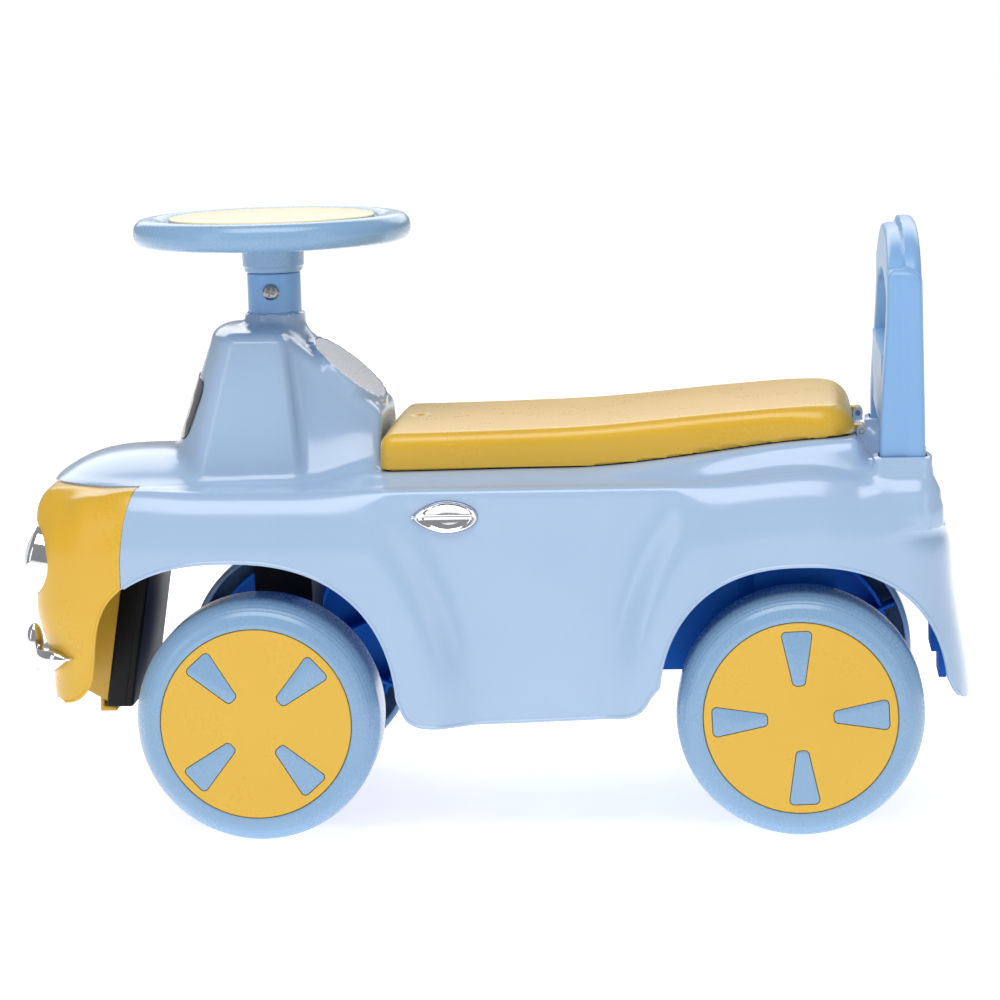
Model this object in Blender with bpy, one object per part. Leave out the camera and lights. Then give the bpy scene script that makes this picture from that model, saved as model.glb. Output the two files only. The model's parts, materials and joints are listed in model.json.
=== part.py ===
"""Kids ride-on car: blown body on four wheels, steered front axle, storage under the seat.

Metres, +Z up. The car's front faces -X, its sides face -Y (left) and +Y (right).
The origin lies on the floor under the middle of the car.
"""

import math

import bmesh
import bpy
from mathutils import Matrix, Vector

# Fits
SEAM = 0.0004
SEAT_GAP = 0.0003
RUNNING_GAP = 0.0004
FLANGE_GAP = 0.0013
FLANGE_LAP = 0.0055
STOP_GAP = 0.0008

# Wheels and axles
WHEEL_RADIUS = 0.0825
WHEEL_WIDTH = 0.047
TRACK = 0.240
FRONT_AXLE_X = -0.1566
REAR_AXLE_X = 0.2056
CAP_RADIUS = 0.0640
CAP_THICKNESS = 0.0030
TYRE_WALL = 0.0040
TYRE_SIDES = 24
CORE_SIDES = 12
HUB_RADIUS = 0.0110
AXLE_RADIUS = 0.0040
HUB_RECESS = 0.0064
HUB_FLOOR = 0.0031
TYRE_SHOULDER = 0.0160
SIDEWALL_REACH = 0.0040
SIDEWALL_DROP = 0.0070
CORE_SETBACK = 0.0040
CORE_RIM_SETBACK = 0.0120
CORE_RIM_WIDTH = 0.0120
CORE_WALL = 0.0025
CORE_HUB_WALL = 0.0035
RIB_SETBACK = 0.0090
AXLE_NUT_RADIUS = 0.0065
AXLE_NUT_HEIGHT = 0.0050
AXLE_NUT_DEPTH = 0.0035
SPOKE_COUNT = 4
SPOKE_INNER = 0.0220
SPOKE_OUTER = 0.0580
SPOKE_INNER_WIDTH = 0.0085
SPOKE_OUTER_WIDTH = 0.0195
SPOKE_CORNER = 0.0030
RIB_COUNT = 8
RIB_THICKNESS = 0.0022
FRONT_SPOKE_ANGLE = 42.0
REAR_SPOKE_ANGLE = 2.0

# Body
BODY_FRONT = -0.3175
BODY_REAR = 0.3215
BODY_HALF_WIDTH = 0.1450
WALL = 0.0030
NOSE_SQUARENESS = 6.0
TAIL_SQUARENESS = 6.5
BODY_SIDE_DRAFT = 0.035
DOOR_RECESS = 0.0130
FENDER_HEIGHT_REACH = 0.198
FRONT_FENDER_LENGTH = 0.150
REAR_FENDER_LENGTH = 0.132
SKIRT_BOTTOM = 0.0790
SHOULDER = 0.2360
DOOR_EDGE_RADIUS = 0.0050
FENDER_CROWN_WIDTH = 0.0260
FENDER_CROWN_HEIGHT = 0.0400
ARCH_TOP_FRONT = 0.1910
ARCH_TOP_REAR = 0.1832
BEND_SHARE = 0.5
OUTER_COLUMNS = 64
NOSE_CREST_END = -0.2400
FENDER_CREST_Y = BODY_HALF_WIDTH - 0.0315
CREST_EASE = 0.27
NOSE_BLUNTNESS = 0.55
TUCK_START_X = 0.2400
FRONT_ARCH_X = -0.1735
FRONT_ARCH_HALF_LENGTH = 0.1130
REAR_ARCH_X = 0.2080
REAR_ARCH_HALF_LENGTH = 0.0970
ARCH_SQUARENESS = 2.35
ACROSS = 0.2000
AHEAD = -0.3600
BEHIND = 0.3400
OVER_BODY = 0.2620
DECK_STATIONS = (-0.0790, 0.2080, 0.2430, 0.2620)

# Hood, tower and cowl
HOOD_TIP_X = -0.3094
HOOD_CENTRE_X = -0.2200
HOOD_HALF_WIDTH = 0.0940
HOOD_RISE = 0.0178
HOOD_STEP = -0.0015
HOOD_FULLNESS = 4.2
HOOD_CROSS_FULLNESS = 2.3
HOOD_WAIST = 0.0180
HOOD_WAIST_X = -0.1790
HOOD_BACK = -0.1500
HOOD_LIP_DEPTH = 0.0140
HOOD_PLAN_SQUARENESS = 2.6
TOWER_TOP = 0.3372
TOWER_BASE_HALF_WIDTH = 0.0820
TOWER_TOP_HALF_WIDTH = 0.0546
TOWER_BASE_FRONT = -0.2297
TOWER_SLOPE = 0.345
TOWER_BASE_BOW = 0.0270
TOWER_TOP_BOW = 0.0150
TOWER_BASE_BACK = -0.1285
TOWER_TOP_BACK = -0.1411
TOWER_CORNER = 0.0060
COWL_BACK = -0.0770
COWL_HALF_WIDTH = 0.0880
PANEL_TILT = 39.0
PANEL_CENTRE = (-0.1027, 0.3037)
PANEL_HALF_WIDTH = 0.0430
PANEL_HALF_LENGTH = 0.0310
PANEL_THICKNESS = 0.0020
POD_RIM = 0.0032
POD_DEPTH = 0.0220
COWL_TOP_HALF_WIDTH = 0.0470
COWL_FLARE = 2.1
COWL_FOOT = 0.0120

# Steering
STEERING_X = -0.1535
NECK_RADIUS = 0.0210
NECK_TOP = 0.3450
COLUMN_RADIUS = 0.0185
COLUMN_TOP = 0.3722
COLUMN_ENTRY = 0.0180
COLUMN_SCREW_RADIUS = 0.0057
COLUMN_SCREW_RISE = 0.0010
COLUMN_CROSS_HOLE = 0.0025
COLUMN_NUT_RADIUS = 0.0052
SHAFT_RADIUS = 0.0060
RIM_RADIUS = 0.0962
RIM_WIDTH = 0.0262
RIM_HEIGHT = 0.0190
RIM_CENTRE_Z = 0.4020
HUB_COLLAR_RADIUS = 0.0213
HUB_COLLAR_TOP = 0.3900
HUB_DISC_RADIUS = 0.0735
HUB_DISC_DROP = 0.0025
HUB_GROOVE_DEPTH = 0.0050
HUB_SOCKET_DEPTH = 0.0060
PAD_RADIUS = 0.0716
PAD_THICKNESS = 0.0038
RIM_SIDES = 24
FORK_LENGTH = 0.0400
FORK_WIDTH = 0.0560
FORK_TOP = 0.1960
FORK_SETBACK = 0.0025
FORK_FOOT_DROP = 0.0150
SLEEVE_RADIUS = 0.0095
GUSSET_THICKNESS = 0.0050
GUSSET_REACH = 0.0800
GUSSET_TOP = 0.1500
SHAFT_SINK = 0.0500
BRIDGE_UNDERSIDE = 0.2065
BRIDGE_THICKNESS = 0.0035
BRIDGE_HALF_LENGTH = 0.0480
BRIDGE_SIDE_ROOM = 0.0370
BRIDGE_HALF_WIDTH = BODY_HALF_WIDTH - BRIDGE_SIDE_ROOM
BRIDGE_SCREW_INSET = 0.0080
BRIDGE_SCREW_HEAD = 0.0042
BRIDGE_SCREW_SHANK = 0.0019
BRIDGE_SCREW_HEIGHT = 0.0026
BRIDGE_SCREW_GRIP = 0.0070
BRIDGE_SCREW_CLEARANCE = 0.0025
BOSS_RADIUS = 0.0055
BOSS_PILOT_RADIUS = 0.0022
BOSS_PILOT_DEPTH = 0.0090
BUSH_WALL = 0.0050
BUSH_COLLAR = 0.0040
CUT_THROUGH = 0.0100

# Seat, tub and backrest
SEAT_FRONT = -0.0745
SEAT_REAR = 0.2456
SEAT_HALF_WIDTH = 0.0885
SEAT_WALL = 0.0032
SEAT_SQUARENESS = 12.0
SEAT_CROWN = 0.0020
SEAT_DIP_SETBACK = 0.0200
SEAT_DIP_DEPTH = 0.0018
SEAT_DIP_HALF_LENGTH = 0.0070
SEAT_DIP_HALF_WIDTH = 0.0130
LUG_ARM_RISE = 0.0012
LUG_ARM_ROOT = 0.0035
LID_GAP = 0.0008
SEAT_POINTS = 32
SEAT_RIM_MARGIN = 0.0110
TUB_FRONT = -0.0330
TUB_REAR = 0.1910
TUB_HALF_WIDTH = 0.0780
TUB_FLOOR = 0.1030
TUB_WALL = 0.0028
TUB_SIDE_MARGIN = 0.0070
TUB_PLATE_FRONT = 0.0150
TUB_PLATE_REAR = 0.0400
TUB_PLATE_OUT = 0.0030
TUB_PLATE_IN = 0.0050
TUB_PLATE_LOW = 0.0680
TUB_PLATE_HIGH = 0.2000
TUB_CROSS_LOW = 0.1070
TUB_CROSS_HIGH = 0.1980
TUB_CROSS_THICKNESS = 0.0030
TAIL_STOP_FRONT = 0.2970
TAIL_STOP_HALF_WIDTH = 0.0220
TAIL_STOP_LOW = 0.1020
TAIL_STOP_HIGH = 0.1700
TAIL_FOOT_FRONT = 0.3022
TAIL_FOOT_REAR = 0.3074
TAIL_FOOT_HALF_WIDTH = 0.0180
TAIL_FOOT_RISE = 0.0040
SEAT_HINGE_X = 0.2500
SEAT_HINGE_Z = 0.2610
HINGE_PIN_RADIUS = 0.0016
LUG_RADIUS = 0.0038
LUG_PLACE_Y = 0.0480
LUG_WIDTH = 0.0100
EAR_WIDTH = 0.0045
SOCKET_CENTRE = (0.2755, 0.1000)
SOCKET_LENGTH = 0.0390
SOCKET_WIDTH = 0.0340
SOCKET_TOP = 0.2510
POST_LENGTH = 0.0297
POST_WIDTH = 0.0265
POST_FOOT = 0.2120
POST_CAP_TOP = 0.3745
POST_FRONT_TAPER = 0.0088
POST_REAR_TAPER = 0.0020
BACKREST_TOP = 0.4006
ARCH_HALF_WIDTH = 0.1100
ARCH_SPRING = 0.3450
ARCH_BEND = 2.7
FRONT_BAND_DEPTH = 0.0188
FRONT_BAND_STEP = 0.0012
HAND_HOLE_TOP = 0.3660
HAND_HOLE_ROUND = 0.0200
HAND_HOLE_BEND = 2.4
HAND_HOLE_BOTTOM = 0.3160
BACK_PANEL_BOTTOM = 0.2620
BACK_PANEL_DEPTH = 0.0225
BACK_PANEL_SETBACK = 0.0060

# Front trim
SEAM_X = -0.2452
CHIN = 0.0887
HEADLIGHT_Y = 0.0895
HEADLIGHT_X = -0.3095
HEADLIGHT_Z = 0.1890
HEADLIGHT_RADIUS = 0.0245
HEADLIGHT_TILT = 13.0
BEZEL_WIDTH = 0.0035
BEZEL_DEPTH = 0.0150
LENS_DEPTH = 0.0080
BUMPER_Z = 0.1135
BUMPER_END_RISE = 0.0120
BUMPER_HEIGHT = 0.0165
BUMPER_DEPTH = 0.0115
BUMPER_END_X = -0.2800
OVERRIDER_Y = 0.0620
OVERRIDER_HEIGHT = 0.0330
OVERRIDER_HALF_DEPTH = 0.0058
OVERRIDER_HALF_WIDTH = 0.0072
OVERRIDER_STAND = 0.0030
OVERRIDER_DROP = 0.0090
BOX_HALF_WIDTH = 0.0520
BOX_THICKNESS = 0.0190
BOX_TOP_X = -0.2600
BOX_TOP_Z = 0.1670
BOX_BOTTOM_X = -0.2748
BOX_BOTTOM_Z = 0.0757
CHEEK_THICKNESS = 0.0030
CHEEK_INSET = 0.0030
SHELF_THICKNESS = 0.0030
CLIP_HALF_WIDTH = 0.0440

# Side trim and windscreen
HANDLE_FRONT = -0.0484
HANDLE_REAR = -0.0055
HANDLE_HEIGHT = 0.0215
HANDLE_Z = 0.2180
HANDLE_THICKNESS = 0.0030
HANDLE_BED_DEPTH = 0.0200
BOWL_HALF_LENGTH = 0.0135
BOWL_HALF_HEIGHT = 0.0072
BOWL_SHIFT = 0.0030
BOWL_DEPTH = 0.0018
BAR_HALF_LENGTH = 0.0150
BAR_HALF_HEIGHT = 0.0016
BAR_INSET = 0.0002
WINDSCREEN_HALF_WIDTH = 0.0500
WINDSCREEN_LOW = 0.2600
WINDSCREEN_HIGH = 0.3040
WINDSCREEN_THICKNESS = 0.0016

LIGHT_BLUE = (0.53, 0.68, 0.90)
MID_BLUE = (0.40, 0.60, 0.88)
DEEP_BLUE = (0.02, 0.20, 0.60)
YELLOW = (0.90, 0.60, 0.08)
CHROME = (0.85, 0.85, 0.88)
STEEL = (0.55, 0.56, 0.58)
BLACK = (0.02, 0.02, 0.025)
WHITE = (0.90, 0.92, 0.95)
GREY = (0.42, 0.43, 0.45)


def clear_scene():
    for thing in list(bpy.data.objects):
        bpy.data.objects.remove(thing)


def plastic(name, colour, roughness=0.35, metallic=0.0):
    """A plain Principled material of one colour."""
    material = bpy.data.materials.get(name) or bpy.data.materials.new(name)
    material.use_nodes = True
    shader = material.node_tree.nodes["Principled BSDF"]
    shader.inputs["Base Color"].default_value = (*colour, 1.0)
    shader.inputs["Roughness"].default_value = roughness
    shader.inputs["Metallic"].default_value = metallic
    return material


def add_object(name, bm, material=None):
    """Turns a bmesh into a scene object with outward faces."""
    bmesh.ops.remove_doubles(bm, verts=bm.verts, dist=1e-6)
    bmesh.ops.recalc_face_normals(bm, faces=bm.faces)
    mesh = bpy.data.meshes.new(name)
    bm.to_mesh(mesh)
    bm.free()
    thing = bpy.data.objects.new(name, mesh)
    bpy.context.scene.collection.objects.link(thing)
    if material:
        mesh.materials.append(material)
    return thing


def merge_flats(thing):
    """Joins the nearly coplanar triangles that Booleans leave on flat stretches."""
    bm = bmesh.new()
    bm.from_mesh(thing.data)
    bmesh.ops.dissolve_limit(bm, angle_limit=math.radians(0.6), verts=bm.verts, edges=bm.edges)
    bmesh.ops.triangulate(bm, faces=bm.faces)
    bm.to_mesh(thing.data)
    bm.free()


def thin_out(thing, ratio):
    """Fewer triangles where the surface is nearly flat."""
    modifier = thing.modifiers.new("fewer", "DECIMATE")
    modifier.ratio = ratio
    bpy.context.view_layer.update()
    graph = bpy.context.evaluated_depsgraph_get()
    result = bpy.data.meshes.new_from_object(thing.evaluated_get(graph))
    thing.modifiers.clear()
    thing.data = result


def smooth_shade(thing, angle=35.0):
    thing.data.shade_smooth()
    thing.data.set_sharp_from_angle(angle=math.radians(angle))


def combine(target, operation, *others, solver="EXACT"):
    """Applies one Boolean after another to the target and deletes the other shapes."""
    for other in others:
        modifier = target.modifiers.new(operation, "BOOLEAN")
        modifier.operation = operation
        modifier.solver = solver
        modifier.object = other
        bpy.context.view_layer.update()
        graph = bpy.context.evaluated_depsgraph_get()
        result = bpy.data.meshes.new_from_object(target.evaluated_get(graph))
        target.modifiers.clear()
        old = target.data
        target.data = result
        result.name = target.name
        bpy.data.meshes.remove(old)
        bpy.data.objects.remove(other)
    return target


def ease(t):
    """0 to 1 with a soft start and end."""
    t = min(1.0, max(0.0, t))
    return t * t * (3.0 - 2.0 * t)


def blend_through(points, x):
    """A soft curve through a few (x, value) points."""
    if x <= points[0][0]:
        return points[0][1]
    for (x0, v0), (x1, v1) in zip(points, points[1:]):
        if x <= x1:
            return v0 + (v1 - v0) * ease((x - x0) / (x1 - x0))
    return points[-1][1]


def spread(points, count):
    """The same closed outline with fewer points, closer together where it bends."""
    loop = [Vector(point) for point in points]
    total = sum((b - a).length for a, b in zip(loop, loop[1:] + loop[:1]))
    pull = BEND_SHARE * total / math.tau
    bends = []
    for before, here, after in zip(loop[-1:] + loop, loop, loop[1:] + loop[:1]):
        bends.append((here - before).angle(after - here, 0.0))
    measure = [0.0]
    for i, here in enumerate(loop):
        j = (i + 1) % len(loop)
        measure.append(measure[-1] + (loop[j] - here).length + pull * 0.5 * (bends[i] + bends[j]))
    result = []
    k = 0
    for i in range(count):
        want = measure[-1] * i / count
        while measure[k + 1] < want:
            k += 1
        share = (want - measure[k]) / max(1e-12, measure[k + 1] - measure[k])
        result.append(tuple(loop[k].lerp(loop[(k + 1) % len(loop)], share)))
    return result


def squircle(half_x, half_y, power, count, centre=(0.0, 0.0)):
    """A rounded rectangle as one closed outline: |x/a|^p + |y/b|^p = 1."""
    dense = []
    for i in range(720):
        angle = math.tau * i / 720
        c, s = math.cos(angle), math.sin(angle)
        reach = (abs(c) ** power + abs(s) ** power) ** (-1.0 / power)
        dense.append((centre[0] + half_x * c * reach, centre[1] + half_y * s * reach))
    return spread(dense, count)


def loft(rings, strips=False):
    """Closed solid through rings of equal counts, whose ends are flat or filled strip by strip.

    Strips need rings that start on their long axis and are the same on both sides of it.
    """
    bm = bmesh.new()
    rows = [[bm.verts.new(point) for point in ring] for ring in rings]
    for low, high in zip(rows, rows[1:]):
        for i in range(len(low)):
            j = (i + 1) % len(low)
            bm.faces.new((low[i], low[j], high[j], high[i]))
    for row in (list(reversed(rows[0])), rows[-1]):
        if not strips:
            bm.faces.new(row)
            continue
        row = row[-1:] + row[:-1] if row is not rows[-1] else row
        count = len(row)
        for i in range(count // 2):
            corners = (row[i], row[i + 1], row[count - i - 1], row[(count - i) % count])
            bm.faces.new(list(dict.fromkeys(corners)))
    return bm


def turn(profile, steps=48):
    """Solid of revolution about Y: the profile is a closed list of (radius, y)."""
    bm = bmesh.new()
    rings = []
    for i in range(steps):
        angle = math.tau * i / steps
        c, s = math.cos(angle), math.sin(angle)
        rings.append([bm.verts.new((r * c, y, r * s)) for r, y in profile])
    count = len(profile)
    for i in range(steps):
        near, far = rings[i], rings[(i + 1) % steps]
        for k in range(count):
            m = (k + 1) % count
            corners = [near[k], near[m], far[m], far[k]]
            bm.faces.new(corners)
    bmesh.ops.remove_doubles(bm, verts=bm.verts, dist=1e-6)
    bmesh.ops.dissolve_degenerate(bm, edges=bm.edges, dist=1e-6)
    return bm


def prism(outline, axis, low, high):
    """Extrudes a flat outline along one axis: 'Y' reads (x, z), 'Z' reads (x, y), 'X' reads (y, z)."""
    place = {
        "X": lambda p, d: (d, p[0], p[1]),
        "Y": lambda p, d: (p[0], d, p[1]),
        "Z": lambda p, d: (p[0], p[1], d),
    }[axis]
    return loft([[place(p, low) for p in outline], [place(p, high) for p in outline]])


def cylinder(name, radius, axis, low, high, centre, steps=32, material=None):
    circle = [
        (
            centre[0] + radius * math.cos(math.tau * i / steps),
            centre[1] + radius * math.sin(math.tau * i / steps),
        )
        for i in range(steps)
    ]
    return add_object(name, prism(circle, axis, low, high), material)


def block(name, low, high, material=None):
    outline = [(low[0], low[1]), (high[0], low[1]), (high[0], high[1]), (low[0], high[1])]
    return add_object(name, prism(outline, "Z", low[2], high[2]), material)


def fender_share(x, z):
    """1 on a fender, 0 on the door panel, soft between."""
    height = (z - WHEEL_RADIUS) / FENDER_HEIGHT_REACH
    front = math.hypot(max(0.0, x - FRONT_AXLE_X) / FRONT_FENDER_LENGTH, height)
    rear = math.hypot(max(0.0, REAR_AXLE_X - x) / REAR_FENDER_LENGTH, height)
    return ease((1.0 - min(front, rear)) / 0.22)


def shoulder_height(x):
    """Height of the edge where the sides turn into the top."""
    stations = (
        (BODY_FRONT + 0.0075, SHOULDER - 0.0190),
        (BODY_FRONT + 0.0275, SHOULDER - 0.0105),
        (BODY_FRONT + 0.0475, SHOULDER - 0.0025),
        (BODY_FRONT + 0.0775, SHOULDER + 0.0015),
        (BODY_FRONT + 0.1275, SHOULDER),
        (BODY_REAR - 0.2015, SHOULDER),
        (BODY_REAR - 0.1065, SHOULDER + 0.0070),
        (BODY_REAR - 0.0665, SHOULDER + 0.0020),
        (BODY_REAR - 0.0315, SHOULDER - 0.0100),
        (BODY_REAR, SHOULDER - 0.0180),
    )
    return blend_through(stations, x)


def deck_height(x):
    """Height of the deck under the seat's rim."""
    stations = (
        (HOOD_TIP_X, SHOULDER),
        (-0.120, SHOULDER),
        (DECK_STATIONS[0], SHOULDER + 0.0070),
        (0.050, SHOULDER + 0.0080),
        (DECK_STATIONS[2], SHOULDER + 0.0250),
        (DECK_STATIONS[3], SHOULDER + 0.0010),
        (0.300, SHOULDER - 0.0160),
    )
    return blend_through(stations, x)


def nose_lean(z):
    """How far the nose stands back from its fullest height."""
    return blend_through(((0.080, 0.0145), (0.107, 0.0120), (0.158, 0.0), (0.300, 0.0)), z)


def tail_lean(z):
    """How far the tail stands back from its fullest height."""
    return blend_through(((0.080, 0.0), (0.176, 0.0080), (0.300, 0.0100)), z)


def crest_height(x, y):
    """Height of the edge of the top: the fenders fall towards the nose, its middle doesn't."""
    shoulder = shoulder_height(x)
    if x > NOSE_CREST_END:
        return shoulder
    return shoulder + (deck_height(x) - shoulder) * ease((1.0 - abs(y) / FENDER_CREST_Y) / CREST_EASE)


def body_outline():
    """Plan outline of the body at its fullest, with its outward directions."""
    dense = []
    middle = 0.5 * (BODY_FRONT + BODY_REAR)
    for i in range(720):
        angle = math.tau * i / 720
        c, s = math.cos(angle), math.sin(angle)
        power = TAIL_SQUARENESS if c > 0.0 else NOSE_SQUARENESS
        reach = (abs(c) ** power + abs(s) ** power) ** (-1.0 / power)
        dense.append((middle + (BODY_REAR - middle) * c * reach, BODY_HALF_WIDTH * s * reach))
    points = spread(dense, OUTER_COLUMNS)
    for station in DECK_STATIONS:
        for side in (-1, 1):
            near = min((p for p in points if side * p[1] > 0.0), key=lambda p: abs(p[0] - station))
            exact = min((p for p in dense if side * p[1] > 0.0), key=lambda p: abs(p[0] - station))
            points[points.index(near)] = exact
    result = []
    for i, point in enumerate(points):
        before, after = points[i - 1], points[(i + 1) % OUTER_COLUMNS]
        tangent = Vector((after[0] - before[0], after[1] - before[1])).normalized()
        result.append((Vector(point), Vector((tangent.y, -tangent.x))))
    return result


def side_point(point, outward, z, inset):
    """A point of the side wall at one height, pushed in by the wall thickness if asked."""
    x = point.x
    top = crest_height(x, point.y) - inset
    share = fender_share(x, z)
    ends = abs(outward.x) ** 2
    bulge = share * (1.0 - NOSE_BLUNTNESS * ends) if outward.x < 0.0 else share
    round_width = DOOR_EDGE_RADIUS + (FENDER_CROWN_WIDTH - DOOR_EDGE_RADIUS) * bulge
    round_height = DOOR_EDGE_RADIUS + (FENDER_CROWN_HEIGHT - DOOR_EDGE_RADIUS) * bulge
    climb = max(0.0, 1.0 - (top - z) / round_height)
    rounding = round_width * (1.0 - math.sqrt(max(0.0, 1.0 - climb * climb)))
    lean = nose_lean(z) if outward.x < 0.0 else tail_lean(z)
    back = BODY_SIDE_DRAFT * (z - SKIRT_BOTTOM) + DOOR_RECESS * (1.0 - share) * (1.0 - ends)
    move = back + rounding + lean * ends + inset
    return Vector((x - outward.x * move, point.y - outward.y * move, z))


def hull_solid(name, inset):
    """The lower body as a closed solid: the sides, their rounded shoulders and the deck."""
    outline = body_outline()
    floor = SKIRT_BOTTOM - 0.020 - inset
    shares = (0.0, 0.27, 0.34, 0.42, 0.52, 0.66, 0.78, 0.87, 0.935, 0.98, 1.0)
    if inset > 0.0:
        shares = (0.0, 0.27, 0.42, 0.60, 0.78, 0.93, 1.0)
    rings = []
    for share in shares:
        ring = []
        for point, outward in outline:
            shoulder = shoulder_height(point.x)
            z = floor + (shoulder - inset - floor) * share
            z += (crest_height(point.x, point.y) - shoulder) * share**6
            ring.append(side_point(point, outward, z, inset))
        rings.append(ring)
    edge = rings[-1]
    for reach, rise in ((0.93, 0.30), (0.84, 0.75), (0.745, 1.0), (0.48, 1.0), (0.27, 1.0), (0.05, 1.0)):
        ring = []
        for p in edge:
            beyond = max(0.0, abs(p.x) - TUCK_START_X) * (1.0 - reach)
            x = p.x - math.copysign(beyond, p.x)
            low, high = crest_height(x, p.y * reach) - inset, deck_height(x) - inset
            ring.append(Vector((x, p.y * reach, low + (high - low) * rise)))
        rings.append(ring)
    return add_object(name, loft(rings, strips=True))


def hood_solid(name, grow):
    """The domed hood as a closed solid, grown or shrunk all round."""
    length = HOOD_CENTRE_X - HOOD_TIP_X + grow
    width = HOOD_HALF_WIDTH + grow
    waist = width - HOOD_WAIST
    power = HOOD_PLAN_SQUARENESS
    rings = []
    for reach in (1.0, 1.0, 0.97, 0.91, 0.81, 0.66, 0.42, 0.08):
        ring = []
        for i in range(17):
            angle = math.pi * (0.5 + i / 16)
            c, s = math.cos(angle), math.sin(angle)
            spread = reach * (abs(c) ** power + abs(s) ** power) ** (-1.0 / power)
            x, y = HOOD_CENTRE_X + length * c * spread, width * s * spread
            ring.append((x, y, hood_top(abs(c) * spread, abs(s) * spread) + grow))
        for x, side in ((HOOD_WAIST_X, -1), (HOOD_BACK, -1), (HOOD_BACK, 1), (HOOD_WAIST_X, 1)):
            ring.append((x, side * waist * reach, hood_top(0.0, reach) + grow))
        if not rings:
            ring = [(x, y, SHOULDER - HOOD_LIP_DEPTH - abs(grow)) for x, y, z in ring]
        rings.append(ring)
    return add_object(name, loft(rings))


def hood_top(along, across):
    """Height of the dome at one share of its length and width."""
    fall = along**HOOD_FULLNESS + across**HOOD_CROSS_FULLNESS
    return SHOULDER + HOOD_STEP + HOOD_RISE * (1.0 - fall)


def tower_solid(name, inset):
    """The windscreen tower: a bowed front that leans back, and sides that draw in."""
    rings = []
    levels = ((0.228, 0.0), (SHOULDER + 0.0040, 0.0), (TOWER_TOP - 0.0200, 0.0))
    crown = ((TOWER_TOP - 0.0080, 0.0012), (TOWER_TOP - 0.0026, 0.0040), (TOWER_TOP, 0.0105))
    for z, tuck in levels + crown:
        share = (z - SHOULDER) / (TOWER_TOP - SHOULDER)
        foot = 0.0040 * max(0.0, 1.0 - (z - SHOULDER) / 0.012) ** 2
        front = TOWER_BASE_FRONT + TOWER_SLOPE * (z - SHOULDER) + tuck + inset - foot
        half = TOWER_BASE_HALF_WIDTH + (TOWER_TOP_HALF_WIDTH - TOWER_BASE_HALF_WIDTH) * share
        half += foot - tuck - inset
        back = TOWER_BASE_BACK + (TOWER_TOP_BACK - TOWER_BASE_BACK) * share - tuck - inset
        bow = TOWER_BASE_BOW + (TOWER_TOP_BOW - TOWER_BASE_BOW) * share
        outline = [(back, half - TOWER_CORNER), (back - TOWER_CORNER, half)]
        for i in range(17):
            t = 1.0 - i / 8
            outline.append((front + bow * abs(t) ** 2.2, half * t))
        outline += [(back - TOWER_CORNER, -half), (back, TOWER_CORNER - half)]
        rings.append([(x, y, z - inset) for x, y in outline])
    return add_object(name, loft(rings))


def cowl_top(x):
    """Height of the slanted face that carries the dash panel."""
    slope = math.tan(math.radians(PANEL_TILT))
    return min(TOWER_TOP - 0.0080, PANEL_CENTRE[1] - 0.0030 - slope * (x - PANEL_CENTRE[0]))


def cowl_solid(name, inset):
    """The scuttle between the tower and the seat, flared out to the deck."""
    rings = []
    for x in (-0.160, -0.140, -0.132, -0.105, COWL_BACK - inset):
        top = cowl_top(x) - inset
        base = deck_height(x) - COWL_FOOT - inset
        wide = COWL_HALF_WIDTH - inset
        slim = COWL_TOP_HALF_WIDTH - inset
        side = []
        for share in (0.0, 0.12, 0.28, 0.48, 0.74, 0.94):
            side.append((slim + (wide - slim) * (1.0 - share) ** COWL_FLARE, base + (top - base) * share))
        side.append((slim - 0.004, top - 0.0008))
        side.append((slim - 0.010, top))
        ring = [(x, y, z) for y, z in side] + [(x, -y, z) for y, z in reversed(side)]
        rings.append(ring)
    return add_object(name, loft(rings))


def tilted_disc(name, half_width, half_length, low, high, steps=48, material=None):
    """An oval disc on the slanted face, between two heights above it."""
    tilt = math.radians(PANEL_TILT)
    rings = []
    for height in (low, high):
        ring = []
        for i in range(steps):
            angle = math.tau * i / steps
            along, across = half_length * math.cos(angle), half_width * math.sin(angle)
            x = PANEL_CENTRE[0] + along * math.cos(tilt) + height * math.sin(tilt)
            z = PANEL_CENTRE[1] - along * math.sin(tilt) + height * math.cos(tilt)
            ring.append((x, across, z))
        rings.append(ring)
    return add_object(name, loft(rings), material)


def socket_solid(name, side, inset, foot):
    """A flared socket on the rear deck that holds one backrest post."""
    cx, cy = SOCKET_CENTRE
    rings = []
    for z, flare in ((foot, 0.012), (0.226, 0.009), (0.232, 0.0045), (0.240, 0.0012), (0.2455, 0.0)):
        half_x, half_y = SOCKET_LENGTH / 2 + flare - inset, SOCKET_WIDTH / 2 + flare - inset
        shift = -0.4 * flare
        outline = squircle(half_x, half_y, 5.0, 20, (cx + shift, side * cy))
        rings.append([(x, y, z) for x, y in outline])
    half_x, half_y = SOCKET_LENGTH / 2 - inset, SOCKET_WIDTH / 2 - inset
    outline = squircle(half_x, half_y, 5.0, 20, (cx, side * cy))
    rings.append([(x, y, SOCKET_TOP) for x, y in outline])
    return add_object(name, loft(rings))


def arch_curve(centre_x, half_length, top, start, end, count, power):
    """Part of a rounded wheel arch, from one angle to the other."""
    points = []
    for i in range(count):
        angle = math.radians(start + (end - start) * i / (count - 1))
        c, s = math.cos(angle), math.sin(angle)
        reach = (abs(c) ** power + abs(s) ** power) ** (-1.0 / power)
        points.append((centre_x + half_length * c * reach, WHEEL_RADIUS + (top - WHEEL_RADIUS) * s * reach))
    return points


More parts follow.
